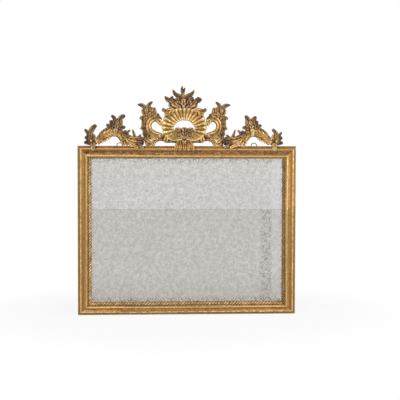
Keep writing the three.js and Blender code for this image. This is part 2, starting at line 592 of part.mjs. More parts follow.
const INNER_SCROLL = [
  { spine: [[15.6, 16.4, 1.6], [17.4, 17.8, 1.8], [20.4, 17.6, 2], [23, 15, 2.1], [23.6, 12.1, 2.1],
    [22.3, 8.9, 2], [19.4, 7.1, 1.9], [16.4, 6.9, 1.8], [13.8, 7, 1.6]],
    half: [1.2, 2.2, 2.4, 2.5, 2.4, 2.7, 2.6, 2.4, 1.7], crown: 1.1, vein: 0.5, flat: true, steps: 14 },
  { spine: [[25.6, 8.4, 1.4], [26.5, 11.5, 1.7], [26.6, 15, 1.8], [26.2, 18.6, 1.9], [25.6, 21, 2]],
    half: [1.2, 1.5, 1.6, 1.7, 1.2], crown: 0.8, lobes: 3, back: 1.2, steps: 9 },
  { spine: [[23.4, 14.6, 1.8], [23.6, 17.4, 2], [22.9, 20.2, 2.2]],
    half: [2.6, 3.7, 3.4], flat: true, steps: 3 },
  { spine: [[26.2, 18.4, 2], [27.8, 18.6, 2.3], [29.3, 18.1, 2.8]],
    half: [1.3, 1.3, 0.7], vein: 0, steps: 3 },
  { spine: [[26.2, 13, 1.8], [27.7, 12, 2], [29, 10.7, 2.5]], half: [1, 0.8, 0.4], vein: 0, steps: 3 },
  { spine: [[25.2, 9.8, 1.6], [26.7, 8.3, 1.8], [27.2, 6.9, 2.2]],
    half: [1.4, 1.1, 0.5], vein: 0, steps: 3 },
  { spine: [[17.6, 17.6, 2.2], [15.9, 15.9, 2.4], [15, 13.2, 2.6]], half: [1.6, 1.7, 0.5], vein: 0,
    back: 1.6, steps: 4 },
  { spine: [[18, 18.4, 2.2], [17.3, 20, 2.4], [16.6, 21.4, 2.6]],
    half: [1.7, 1.4, 0.6], vein: 0, steps: 3 },
  { spine: [[24, 9.4, 1.8], [24.6, 6.4, 1.9], [23.2, 3.8, 2.1], [20.2, 2.3, 2.4]], half: [2, 2.4, 2, 0.7],
    lobes: 3, back: 1.9, steps: 8 },
  { spine: [[24.4, 6, 1.6], [23.9, 2.8, 1.8], [22.6, 0.2, 1.9]], half: [1.9, 2.3, 2], crown: 0.9,
    flat: true, steps: 3 },
];

const INNER_FLOWER = [
  { spine: [[22.9, 19.6, 3.2], [22.9, 22.2, 3], [23.6, 25.6, 2.6]],
    half: [3.2, 4.4, 2.6], crown: 1.2, lobes: 2,
    back: 2.2, steps: 6 },
  { spine: [[24.2, 23.2, 2.8], [25.8, 25.3, 3], [28, 26.4, 3.5], [30.5, 26.7, 4]],
    half: [2, 1.8, 1.3, 0.5] },
  { spine: [[24, 23.6, 2.8], [24.4, 25.8, 3], [23, 27.2, 3.5], [21.2, 28.5, 4]],
    half: [1.7, 1.6, 1.2, 0.5] },
  { spine: [[21.6, 21, 2.8], [20, 23.2, 3], [20.1, 25, 3.4]], half: [1.4, 1.5, 0.6], vein: 0, steps: 4 },
  { spine: [[21.6, 20.2, 2.8], [19.2, 21.2, 3], [18.2, 23.4, 3.6]],
    half: [1.3, 1.4, 0.6], vein: 0, steps: 4 },
  { spine: [[23.6, 21, 2.8], [26, 21.6, 3], [27.2, 23.6, 3.5]], half: [1.6, 1.6, 0.7], vein: 0, steps: 4 },
  { at: [22.6, 22.6], radius: 1.5, from: 2, top: 5 },
];

const OUTER_SCROLL = [
  { spine: [[57.4, 1.4, 1.4], [55.6, 4.1, 1.7], [52.8, 6.9, 2], [49.6, 8.6, 2.1], [46.2, 8.9, 2.2], [43, 8, 2.2],
    [40.2, 6, 2.1], [37.6, 4.3, 2], [34.5, 3.3, 2], [30.5, 2.9, 1.9], [26.6, 2.6, 1.7]],
    half: [1.5, 2.6, 3, 3, 3, 3.2, 3.6, 3.7, 3.4, 3.1, 2.2], crown: 1.2, vein: 0.45, flat: true,
    lobes: 9, steps: 25 },
  { spine: [[38.8, 6, 2.2], [37.4, 8.2, 2.5], [36.2, 9.9, 3]], half: [1.6, 1.2, 0.5], vein: 0, steps: 4 },
  { spine: [[33.2, 3.4, 2.2], [33.6, 7.4, 2.6], [33.8, 10.6, 3.2]], half: [2.2, 1.4, 0.35], steps: 5 },
  { spine: [[53.6, 6.8, 2], [54.4, 7.9, 2.3], [55, 8.6, 2.7]], half: [1.3, 1, 0.5], vein: 0, steps: 3 },
  { spine: [[55.8, 4, 1.7], [56.9, 5.2, 2], [56.7, 6.4, 2.4]], half: [1.2, 1, 0.5], vein: 0, steps: 3 },
  { spine: [[52.2, 4.6, 2], [51, 3.2, 2.2], [50.3, 2, 2.6]], half: [1.2, 1, 0.5], vein: 0, steps: 3 },
  { spine: [[37.4, 3, 2.6], [34.2, 0.8, 4], [30.6, -1, 5.1]], half: [1.9, 1.7, 0.5], back: 1.6, steps: 5 },
];

const ARCH_SPRAY = [
  { spine: [[45.4, 9.4, 3.2], [44.8, 13, 2.6], [43.8, 17.6, 2.4]], half: [3.2, 4.3, 2.6], crown: 1.3,
    lobes: 3, back: 2, steps: 8 },
  { spine: [[43.2, 16.2, 2.8], [42.1, 18.3, 3], [40.7, 19.3, 3.5], [38.9, 19.9, 4]],
    half: [1.8, 1.7, 1.5, 0.8], steps: 5 },
  { spine: [[45.2, 15.4, 2.8], [46, 17.7, 3], [47, 19.1, 3.5], [48.2, 20, 4]],
    half: [1.7, 1.5, 1.2, 0.6], steps: 5 },
  { spine: [[46, 13.4, 2.6], [48, 15.1, 2.8], [49.5, 16, 3.3]], half: [1.8, 1.5, 0.7], vein: 0, steps: 4 },
  { spine: [[46, 11.8, 2.6], [49.2, 13, 2.8], [51.7, 13.4, 3.4]],
    half: [1.7, 1.4, 0.7], vein: 0, steps: 4 },
  { spine: [[43, 11.8, 2.6], [40.8, 12.3, 2.8], [38.8, 12, 3.4]],
    half: [1.7, 1.4, 0.7], vein: 0, steps: 4 },
  { spine: [[45.3, 11.2, 3.8], [45.6, 8.6, 4], [45.6, 6.2, 4.2]],
    half: [1.8, 1.4, 0.5], back: 1.2, steps: 4 },
];

const END_TIPS = { left: { tall: 13.9, small: 10.9 }, right: { tall: 11.3, small: 9.5 } };
const endSpray = (tips) => [
  { spine: [[59.4, 0.2, 2], [61, 3, 2.2], [62.2, 5.6, 2.3], [62.6, 7.4, 2.2]],
    half: [2.4, 3.5, 3, 1.6], crown: 1.1,
    lobes: 3, flat: true, steps: 8 },
  { spine: [[61.8, 3.6, 2.6], [62.1, tips.tall * 0.6, 2.9], [60.6, tips.tall * 0.84, 3.4], [57.9, tips.tall, 4]],
    half: [1.8, 2.3, 2, 0.9] },
  { spine: [[62.4, 5.4, 2.4], [63.7, tips.small * 0.79, 2.7], [65.9, tips.small, 3.3]],
    half: [1.6, 1.3, 0.6],
    steps: 4 },
  { spine: [[61.8, 3.6, 2.2], [64.3, 4.4, 2.4], [65.8, 3.7, 2.9]],
    half: [1.5, 1.3, 0.7], vein: 0, steps: 3 },
  { spine: [[61.4, 1.6, 2], [64.1, 1.8, 2.2], [65.8, 1.1, 2.7]], half: [1.4, 1.3, 0.7], vein: 0, steps: 3 },
  { spine: [[60.2, 1.8, 3.4], [60.3, -1, 5], [60, -3.1, 5.1]], half: [2.1, 1.8, 0.6], back: 1.4, steps: 5 },
  { spine: [[58.8, 5.2, 2.2], [59.4, 6.7, 2.4], [59.2, 7.8, 2.8]], half: [1.3, 1, 0.5], vein: 0, steps: 3 },
];

// Pieces in front are whole, and the ones behind are cut round them.
const knop = carving(KNOP, 1);
const drop = carving(DROP, 1).subtract(carving(KNOP, 1, CUT));
const finialCut = carving(FINIAL, 1, CUT);
const frontCuts = [carving(KNOP, 1, CUT), carving(DROP, 1, CUT), finialCut];
const shell = shellFan().add(carving(SHELL_TRIM, 1));
const shellCut = shellFan(CUT).add(carving(SHELL_TRIM, 1, CUT));

add('shell', fitted(shell, frontCuts), GILT_PALE);
add('shell_knop', fitted(knop), GILT);
add('shell_drop', fitted(drop), GILT);
add('finial_spray', fitted(carving(FINIAL, 1)), GILT_DARK);

for (const [name, side] of SIDES) {
  const flowerCut = carving(INNER_FLOWER, side, CUT);
  const innerCut = carving(INNER_SCROLL, side, CUT);
  const sprayCut = carving(ARCH_SPRAY, side, CUT);
  const endCut = carving(endSpray(END_TIPS[name]), side, CUT);
  add(`base_scroll_${name}`, fitted(carving(BASE_SCROLL, side), [shellCut, innerCut, ...frontCuts]), GILT);
  add(`inner_scroll_${name}`, fitted(carving(INNER_SCROLL, side), [shellCut, flowerCut]), GILT);
  add(`inner_flower_${name}`, fitted(carving(INNER_FLOWER, side)), GILT_DARK);
  add(`outer_scroll_${name}`, fitted(carving(OUTER_SCROLL, side), [innerCut, sprayCut, endCut]), GILT);
  add(`arch_spray_${name}`, fitted(carving(ARCH_SPRAY, side)), GILT_DARK);
  add(`end_spray_${name}`, fitted(carving(endSpray(END_TIPS[name]), side)), GILT_DARK);
}

// ---- braces and hanging hardware ----------------------------------------------------------------
for (const { name, x, width, rise } of braces) {
  let brace = solid(box(
    [x - width / 2, BRACE_FRONT_Y, FRAME_HEIGHT - BRACE_DROP],
    [x + width / 2, BRACE_FRONT_Y + BRACE_DEPTH, FRAME_HEIGHT + rise],
  ));
  for (const hole of braceHoles) brace = brace.subtract(hole);
  add(`crest_brace_${name}`, brace, PINE);
  for (const [part, z] of Object.entries(braceScrewZ({ rise }))) {
    add(`brace_screw_${name}_${part}`, screw(x, z, MEMBER_BACK_Y, SCREW_LENGTH), STEEL);
  }
}

function alongX(radius, x, y, z, width, sides) {
  const geometry = new THREE.CylinderGeometry(radius, radius, width, sides);
  geometry.rotateZ(Math.PI / 2);
  geometry.translate(x, y, z);
  return solid(geometry);
}

const EYE_SIDES = 16;
const RING_SEGMENTS = 24;
const WIRE_SIDES = 6;
for (const { name, x } of strapCentres) {
  let strap = solid(box(
    [x - STRAP_WIDTH / 2, STRAP_FRONT_Y, EYE_Z - STRAP_LENGTH],
    [x + STRAP_WIDTH / 2, STRAP_BACK_Y, EYE_Z - EYE_RADIUS],
  ));
  strap = strap.add(solid(box(
    [x - EYE_WIDTH / 2, STRAP_FRONT_Y, EYE_Z - STRAP_LENGTH / 2],
    [x + EYE_WIDTH / 2, STRAP_BACK_Y, EYE_Z],
  )));
  strap = strap.add(alongX(EYE_RADIUS, x, EYE_Y, EYE_Z, EYE_WIDTH, EYE_SIDES));
  strap = strap.subtract(alongX(EYE_BORE, x, EYE_Y, EYE_Z, 2 * EYE_WIDTH, EYE_SIDES));
  for (const hole of strapHoles) strap = strap.subtract(hole);
  add(`hanging_strap_${name}`, strap, IRON);
  strapScrewZ.forEach((z, i) => {
    add(`strap_screw_${name}_${i + 1}`, screw(x, z, STRAP_BACK_Y, SCREW_LENGTH), STEEL);
  });
  const ring = new THREE.TorusGeometry(RING_RADIUS, RING_WIRE, WIRE_SIDES, RING_SEGMENTS);
  ring.rotateX(Math.PI / 2);
  ring.translate(x, EYE_Y, EYE_Z + RING_RADIUS);
  add(`hanging_ring_${name}`, solid(ring), IRON);
}

export default group;
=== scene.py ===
"""Overmantel mirror: the looks of a gilt two-plate mirror with a carved crest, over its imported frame.

Metres. +Z is up, +X is right seen from the front, the front faces -Y and the wall is at +Y.
The file is laid out as an add-on and is run as a script.
"""
import math
from functools import partial

import bmesh
import bpy
import numpy as np
from bpy.props import FloatProperty, FloatVectorProperty, IntProperty, PointerProperty
from mathutils import Matrix, Vector, noise


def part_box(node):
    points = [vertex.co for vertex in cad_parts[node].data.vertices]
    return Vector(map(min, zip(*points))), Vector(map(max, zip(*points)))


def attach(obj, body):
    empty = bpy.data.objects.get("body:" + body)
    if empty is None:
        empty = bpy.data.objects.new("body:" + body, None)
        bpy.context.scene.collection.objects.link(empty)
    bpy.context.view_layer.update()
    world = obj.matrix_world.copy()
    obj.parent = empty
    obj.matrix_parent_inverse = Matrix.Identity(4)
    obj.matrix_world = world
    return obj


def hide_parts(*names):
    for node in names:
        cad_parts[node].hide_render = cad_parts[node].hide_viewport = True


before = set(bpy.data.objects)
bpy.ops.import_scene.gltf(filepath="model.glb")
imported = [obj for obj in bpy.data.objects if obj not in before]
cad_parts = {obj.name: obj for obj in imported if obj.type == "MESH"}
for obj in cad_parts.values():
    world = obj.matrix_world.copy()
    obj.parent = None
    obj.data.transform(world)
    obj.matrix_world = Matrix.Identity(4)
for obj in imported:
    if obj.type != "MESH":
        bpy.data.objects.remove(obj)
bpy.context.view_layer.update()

bl_info = {
    "name": "Overmantel Mirror",
    "version": (1, 0, 0),
    "blender": (4, 5, 0),
    "location": "View3D > Sidebar > Mirror",
    "description": "Gilt overmantel mirror with a carved crest",
    "category": "Object",
}

# ---- the frame's own sizes ----------------------------------------------------------------------
MM = 0.001
FIT = 0.3 * MM  # gap between pieces that touch
SIDES = (("left", -1), ("right", 1))
FRAME_SIDES = ("top", "bottom", "left", "right")
RAIL_LOW, RAIL_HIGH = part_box("back_rail_top")
HALF_WIDTH = RAIL_HIGH.x
FRAME_TOP = RAIL_HIGH.z
MEMBER_FRONT = RAIL_LOW.y
SIGHT_EDGE = 90 * MM  # where the glass starts, inwards from the outer edge
MOULD_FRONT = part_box("moulding_top")[0].y
BRACE_LOW, BRACE_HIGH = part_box("crest_brace_centre")
CREST_X = (BRACE_LOW.x + BRACE_HIGH.x) / 2
CREST_BACK = BRACE_LOW.y - FIT
REST_Z = FRAME_TOP + FIT  # where the crest stands
SQUARE = 10 * MM  # the crest's pattern is drawn in squares
# The crest isn't quite symmetrical: how far its parts are shifted, and where, in squares from its middle.
SHIFT_AT = (-40, -24, 14, 26)
SHIFT = (0, -4 * MM, -4 * MM, -9 * MM)


def rgb(code):
    """Linear red, green and blue of an sRGB hex value."""
    parts = [int(code[i : i + 2], 16) / 255 for i in (0, 2, 4)]
    return tuple(c / 12.92 if c <= 0.04045 else ((c + 0.055) / 1.055) ** 2.4 for c in parts)


# ---- settings -----------------------------------------------------------------------------------
def colour(name, text, code):
    return FloatVectorProperty(
        name=name, description=text, subtype="COLOR", size=3, min=0, max=1, default=rgb(code)
    )


def length(name, text, default):
    return FloatProperty(name=name, description=text, default=default, min=0, unit="LENGTH")


def share(name, text, default):
    return FloatProperty(name=name, description=text, default=default, min=0, max=1, subtype="FACTOR")


class GildingSettings(bpy.types.PropertyGroup):
    leaf: colour("Gold leaf", "Leaf at its usual tone", "BC8E50")
    pale: colour("Pale gold", "Leaf where it is burnished or rubbed bright", "EBCB8C")
    olive: colour("Olive gold", "Leaf under old green-brown toning", "8E7634")
    # toned leaf and umber also paint shade, where the leaf lies deep behind the carving round it
    toned: colour("Toned leaf", "Leaf under orange-brown toning, on the way down into a hollow", "8A5A2C")
    bole: colour("Bole", "Red-brown clay that shows where the leaf is rubbed through", "74391F")
    umber: colour("Umber", "Dirt and toning in the hollows", "2C1A0C")
    dulled: colour("Dulled leaf", "Leaf under a grey-brown film of dirt", "A58A68")
    soot: colour("Soot", "Dirt on the tips of the leaves", "4A3B2E")
    dust: colour("Dust", "Dust on faces that look up", "9C8A70")
    metal: share("Metal", "How metallic clean leaf is", 0.6)
    wear: share("Wear", "How much leaf is rubbed off", 0.25)


class MouldingSettings(bpy.types.PropertyGroup):
    step: length("Row spacing", "Spacing of the rows along a moulding", 9 * MM)
    waver: length("Waver", "How far a hand-planed face wavers", 0.15 * MM)
    rope_pitch: length("Rope pitch", "Length of one strand along the rope slip", 20 * MM)
    rope_depth: share("Rope depth", "Depth of the groove between strands", 0.5)
    rope_step: length("Rope row spacing", "Spacing of the rows along the rope slip", 2.5 * MM)


class CarvingSettings(bpy.types.PropertyGroup):
    grain: length("Carving grain", "Size of the smallest carved detail", 1.7 * MM)
    flutes: IntProperty(name="Flutes", description="Flutes of the shell", default=27, min=5, max=60)
    flute_depth: length("Flute depth", "Depth of the shell's hollows", 9 * MM)


class GlassSettings(bpy.types.PropertyGroup):
    upper: colour("Upper plate", "Silvering of the upper plate", "DEDDDB")
    lower: colour("Lower plate", "Silvering of the lower plate", "D3D0CB")
    foxing: share("Foxing", "How strongly the old silvering has spotted", 0.6)
    arris: length("Arris", "Width of the ground edge of a plate", 0.7 * MM)


class BackSettings(bpy.types.PropertyGroup):
    pine: colour("Pine", "Old unfinished pine", "C8A073")
    pine_dark: colour("Pine rings", "Late wood of the pine", "8A6642")
    arris: length("Arris", "Width of the eased edges", 1.0 * MM)


class HangingSettings(bpy.types.PropertyGroup):
    iron: colour("Iron", "Blackened iron", "35302D")
    rust: colour("Rust", "Rust in the pits", "5A3420")
    steel: colour("Screw steel", "Dull screw heads", "8A857C")


class StageSettings(bpy.types.PropertyGroup):
    azimuth: FloatProperty(
        name="Azimuth", description="Camera's turn round the mirror", default=math.radians(-3.0), unit="ROTATION"
    )
    elevation: FloatProperty(
        name="Elevation", description="Camera's height angle", default=math.radians(2.93), unit="ROTATION"
    )
    roll: FloatProperty(
        name="Roll", description="Camera's tilt", default=math.radians(-0.10), unit="ROTATION"
    )
    yaw: FloatProperty(
        name="Aim right", description="How far right of the mirror it looks", default=math.radians(0.692),
        unit="ROTATION",
    )
    pitch: FloatProperty(
        name="Aim up", description="How far above the mirror's middle it looks", default=math.radians(0.069),
        unit="ROTATION",
    )
    distance: length("Distance", "Camera's distance", 7.0)
    lens: FloatProperty(name="Lens", description="Focal length in millimetres", default=95.3, min=1)
    key: FloatProperty(name="Key light", description="Power of the light at the right in watts", default=85, min=0)
    fill: FloatProperty(name="Fill light", description="Power of the light at the left in watts", default=65, min=0)
    sky: FloatProperty(name="Sky", description="Strength of the light from all sides", default=0.42, min=0)


class MirrorSettings(bpy.types.PropertyGroup):
    gilding: PointerProperty(type=GildingSettings, name="Gilding", description="Gold finish")
    moulding: PointerProperty(type=MouldingSettings, name="Mouldings", description="Mouldings and rope slip")
    carving: PointerProperty(type=CarvingSettings, name="Carving", description="Carved crest")
    glass: PointerProperty(type=GlassSettings, name="Glass", description="Mirror plates")
    back: PointerProperty(type=BackSettings, name="Back", description="Pine behind the gilding")
    hanging: PointerProperty(type=HangingSettings, name="Hanging", description="Iron and screws")
    stage: PointerProperty(type=StageSettings, name="Stage", description="Floor, light and camera")


def settings():
    return bpy.context.scene.overmantel


# ---- materials ----------------------------------------------------------------------------------
SMOOTH = {"interpolation_type": "SMOOTHSTEP"}
COLOURS = {"data_type": "RGBA", "out": 2}  # a Mix node of colours, whose sockets 6 and 7 are the two
WHITE = (1, 1, 1)
REAR_WOOD, REAR_GRAIN = rgb("6E4E30"), rgb("4A321D")  # bare wood of the carvings and mouldings, at the back


def add_node(tree, kind, *values, at=None, out=0, ramp=None, **choices):
    """Adds a node and returns one of its outputs.

    `values` go to its inputs in order and `at` to numbered or named ones; each is a value or another node's
    output. `ramp` is [(place, colour)].
    """
    node = tree.nodes.new("ShaderNode" + kind)
    for name, choice in choices.items():
        setattr(node, name, choice)
    for key, value in (*enumerate(values), *(at or {}).items()):
        socket = node.inputs[key]
        if isinstance(value, bpy.types.NodeSocket):
            tree.links.new(value, socket)
        else:
            socket.default_value = (*value, 1.0)[:4] if socket.type == "RGBA" else value
    if ramp:
        stops = node.color_ramp.elements
        while len(stops) < len(ramp):
            stops.new(0.5)
        for stop, (place_at, tint) in zip(stops, ramp):
            stop.position = place_at
            stop.color = (*tint, 1)
    return node.outputs[out] if len(node.outputs) else node


def start_material(name):
    """A new material, what adds its nodes, its Principled shader and its Object coordinates."""
    material = bpy.data.materials.new(name)
    material.use_nodes = True
    material.node_tree.nodes.clear()
    add = partial(add_node, material.node_tree)
    surface = add("BsdfPrincipled")
    add("OutputMaterial", surface)
    return material, add, surface.node, add("TexCoord", out="Object")


def join(shader, **sources):
    """Links outputs to a shader's sockets, such as Base_Color."""
    for name, source in sources.items():
        shader.id_data.links.new(source, shader.inputs[name.replace("_", " ")])


def gilding(name, grime_and_shade=0.2, olive=0.3, red=0.3, run=None, forms=None, dusty=0.5, fade=0.0):
    """Water gilding on gessoed pine, two centuries old.

    Thin leaf over red clay: metal on the open faces and brightest where it is rubbed, toned orange-brown lower down,
    with dark dirt in the hollows, painted shade where a part lies deep behind the carving round it, clay showing in
    worn spots and dust on what looks up.
    `grime_and_shade` is how dark the toning is, painted shade included, `fade` how far grey-brown dirt has dulled the
    leaf and `run` the axis that worn streaks follow. `forms` gives the tone of each form of a moulding, from its outer
    edge inwards, with painted highlights and shade.
    """
    if name in bpy.data.materials:
        return bpy.data.materials[name]
    gold = settings().gilding
    material, add, shader, place_in = start_material(name)
    drawn_out = {None: (1, 1, 1), "x": (1, 7, 7), "z": (7, 7, 1)}[run]
    streaks_in = add("Mapping", at={"Vector": place_in, "Scale": drawn_out})
    patches, blotches, grit, streaks, wearing = (
        add("TexNoise", at={"Vector": where, "Scale": 1 / size, "Detail": detail, "Roughness": rough})
        for where, size, detail, rough in (
            (place_in, 0.10, 2, 0.55),      # toning in patches of about 100 mm
            (place_in, 0.018, 5, 0.65),     # rubbing in spots of about 18 mm
            (place_in, 0.0045, 4, 0.7),     # gesso grit, drawn at 4 mm so that it shows
            (streaks_in, 0.045, 5, 0.62),   # streaks along a moulding, about 45 mm wide before they are drawn out
            (streaks_in, 0.03, 4, 0.7),     # spots worn down to the clay, about 30 mm
        )
    )
    relief, deep, tips, across = (
        add("Attribute", attribute_name=what, out="Fac") for what in ("relief", "deep", "tip", "across")
    )

    # how free of dirt, rubbed and unshaded the leaf is; painted shade lowers it where it lies deep behind the carving
    # round it: 0 dark, 1 bright
    clean_and_unshaded = 0.56 - 0.3 * grime_and_shade - 0.5 * (0.75 + 0.7)
    for part, weight in ((relief, 0.22), (blotches, 0.75), (streaks, 0.7), (deep, -0.32), (tips, -0.30)):
        clean_and_unshaded = add("Math", part, weight, clean_and_unshaded, operation="MULTIPLY_ADD")
    clean_and_unshaded.node.use_clamp = True
    toning = add("MapRange", patches, 0.35, 0.65, 0, 2 * olive, **SMOOTH)
    leaf = add("Mix", toning, at={6: gold.leaf, 7: gold.olive}, **COLOURS)
    if forms:
        leaf = add("Mix", 0.75, at={6: leaf, 7: add("ValToRGB", across, ramp=forms)}, **COLOURS)
    tone = gold.umber
    for low, high, over in ((0.05, 0.34, gold.toned), (0.26, 0.52, leaf), (0.62, 0.95, gold.pale)):
        step = add("MapRange", clean_and_unshaded, low, high, 0, 1, **SMOOTH)
        tone = add("Mix", step, at={6: tone, 7: over}, **COLOURS)

    # dulled leaf, sooty tips, leaf rubbed through to the clay, specks of dirt
    film = add("MapRange", clean_and_unshaded, 0.2, 0.9, 0, 1, **SMOOTH)
    dulled = add("Mix", film, at={6: gold.umber, 7: gold.dulled}, **COLOURS)
    near_tip = add("MapRange", tips, 0.1, 0.95, 0, 1, **SMOOTH)
    ends = add("Math", near_tip, add("MapRange", blotches, 0.25, 0.6, 0.95, 0.6, **SMOOTH), operation="MULTIPLY")
    worn = add("Math", relief, 0.02, wearing, operation="MULTIPLY_ADD")
    worn = add("MapRange", worn, 0.58, 0.68, 0, 1, **SMOOTH)
    rubbed = add("Math", worn, gold.wear + red, operation="MULTIPLY", use_clamp=True)
    specks = add("MapRange", grit, 0.68, 0.76, 0, 0.6, **SMOOTH)
    # dust where the surface looks up, bare dark wood where it looks at the wall
    facing = add("SeparateXYZ", add("TexCoord", out="Normal")).node.outputs
    settled = add("MapRange", blotches, 0.3, 0.6, 0, dusty, **SMOOTH)
    dust = add("Math", add("MapRange", facing["Z"], 0.5, 0.97, 0, 1, **SMOOTH), settled, operation="MULTIPLY")
    rear = add("MapRange", facing["Y"], 0.6, 0.9, 0, 1, **SMOOTH)
    bare = add("Mix", add("MapRange", streaks, 0.3, 0.7, 0, 1, **SMOOTH), at={6: REAR_WOOD, 7: REAR_GRAIN}, **COLOURS)
    for amount, over in (
        (fade, dulled), (ends, gold.soot), (rubbed, gold.bole), (specks, gold.umber), (dust, gold.dust), (rear, bare),
    ):
        tone = add("Mix", amount, at={6: tone, 7: over}, **COLOURS)

    dull = ends
    for other in (rubbed, specks, dust, rear):
        dull = add("Math", dull, other, operation="MAXIMUM")
    metal = add("MapRange", clean_and_unshaded, 0.15, 0.6, 0, gold.metal * (1 - 0.8 * fade), **SMOOTH)
    polish = add("MapRange", clean_and_unshaded, 0.1, 0.8, 0.76, 0.40 + 0.2 * fade, **SMOOTH)
    # gesso: grit, shallow hollows of the cutting tools, and fine shrinkage cracks about 30 mm apart
    cracks = add("TexVoronoi", at={"Vector": place_in, "Scale": 1 / 0.03}, feature="DISTANCE_TO_EDGE", out="Distance")
    height = add("MapRange", cracks, 0, 0.02, -0.12, 0, **SMOOTH)
    for part, weight in ((grit, 0.35), (blotches, 0.5)):
        height = add("Math", part, weight, height, operation="MULTIPLY_ADD")
    join(
        shader, Base_Color=tone,
        Metallic=add("Math", metal, add("Math", 1, dull, operation="SUBTRACT"), operation="MULTIPLY"),
        Roughness=add("Math", dull, 0.3, polish, operation="MULTIPLY_ADD", use_clamp=True),
        Normal=add("Bump", at={"Height": height, "Strength": 0.55, "Distance": 0.9 * MM}),
    )
    return material


def silvering(name, tint, lower):
    """Tin-and-mercury mirror plate: grey, finely mottled, foxed where damp crept behind the glass."""
    glass = settings().glass
    material, add, shader, place_in = start_material(name)
    at_x, _at_y, at_z = add("SeparateXYZ", place_in).node.outputs
    wide, mottle, fine = (
        add("TexNoise", at={"Vector": place_in, "Scale": 1 / size, "Detail": detail, "Roughness": rough})
        for size, detail, rough in (
            (0.30, 2, 0.55),    # waves of the old plate
            (0.030, 6, 0.80),   # crystals of the tin, clouded in patches of about 30 mm
            (0.008, 3, 0.75),   # pinholes, drawn at 8 mm so that they show
        )
    )
    # a paler strip at the right, beyond a foxed band that stands inside it on the lower plate
    edge_wave = add("Math", add("Math", mottle, 0.5, operation="SUBTRACT"), 0.03, operation="MULTIPLY")
    x_place = add("Math", at_x, edge_wave, operation="ADD")
    strip = add("MapRange", x_place, 0.555, 0.568, 0, 0.12 if lower else 0.3, **SMOOTH)
    base = tuple(tint)
    for amount, over in (
        (add("MapRange", wide, 0.3, 0.7, 0, 1, **SMOOTH), tuple(0.95 * c for c in tint)),
        (add("MapRange", mottle, 0.38, 0.60, 0, 0.8, **SMOOTH), tuple(0.72 * c for c in tint)),
        (add("MapRange", fine, 0.50, 0.66, 0, 0.60, **SMOOTH), rgb("9A958C")),
        (strip, rgb("E0E0E6")),
    ):
        base = add("Mix", amount, at={6: base, 7: over}, **COLOURS)
    specks = add("Math", mottle, 0.5, fine, operation="MULTIPLY_ADD")
    specks = add("MapRange", specks, 0.68, 0.90, 0, 1, **SMOOTH)
    inward = add("Math", HALF_WIDTH - SIGHT_EDGE, add("Math", at_x, operation="ABSOLUTE"), operation="SUBTRACT")
    inward = add("Math", inward, edge_wave, operation="ADD")
    rim = add("MapRange", inward, 0.020, -0.006, 0, 1, **SMOOTH)
    if lower:
        band = add("MapRange", x_place, 0.485, 0.515, 0, 0.55, **SMOOTH)
        for other in (add("MapRange", x_place, 0.575, 0.548, 0, 1, **SMOOTH), specks):
            band = add("Math", band, other, operation="MULTIPLY")
        base = add("Mix", band, at={6: base, 7: rgb("6B6355")}, **COLOURS)
        edge = add("MapRange", at_z, 0.30, 0.09, 0, 0.16, **SMOOTH)
        base = add("Mix", edge, at={6: base, 7: rgb("8C7B66")}, **COLOURS)
        damp_edge = add("MapRange", at_z, 0.125, 0.088, 0, 1, **SMOOTH)
    else:
        damp_edge = add("MapRange", at_z, 0.99, 1.03, 0, 1, **SMOOTH)
    fox = add("Math", add("Math", rim, damp_edge, operation="MAXIMUM"), specks, operation="MULTIPLY")
    fox = add("Math", fox, glass.foxing, operation="MULTIPLY")
    base = add("Mix", fox, at={6: base, 7: rgb("3E362C")}, **COLOURS)
    scattered = add("TexVoronoi", at={"Vector": place_in, "Scale": 1 / 0.16}, feature="F1", out="Distance")
    spots = add("MapRange", scattered, 0.07, 0.03, 0, glass.foxing, **SMOOTH)
    haze = add("MapRange", mottle, 0.35, 0.8, 0.05, 0.13, **SMOOTH)
    join(
        shader, Base_Color=add("Mix", spots, at={6: base, 7: rgb("5A5246")}, **COLOURS),
        Roughness=add("Math", fox, 0.4, haze, operation="MULTIPLY_ADD"),
        Normal=add("Bump", at={"Height": wide, "Strength": 0.06, "Distance": 2 * MM}),
    )
    shader.inputs["Metallic"].default_value = 1.0
    return material


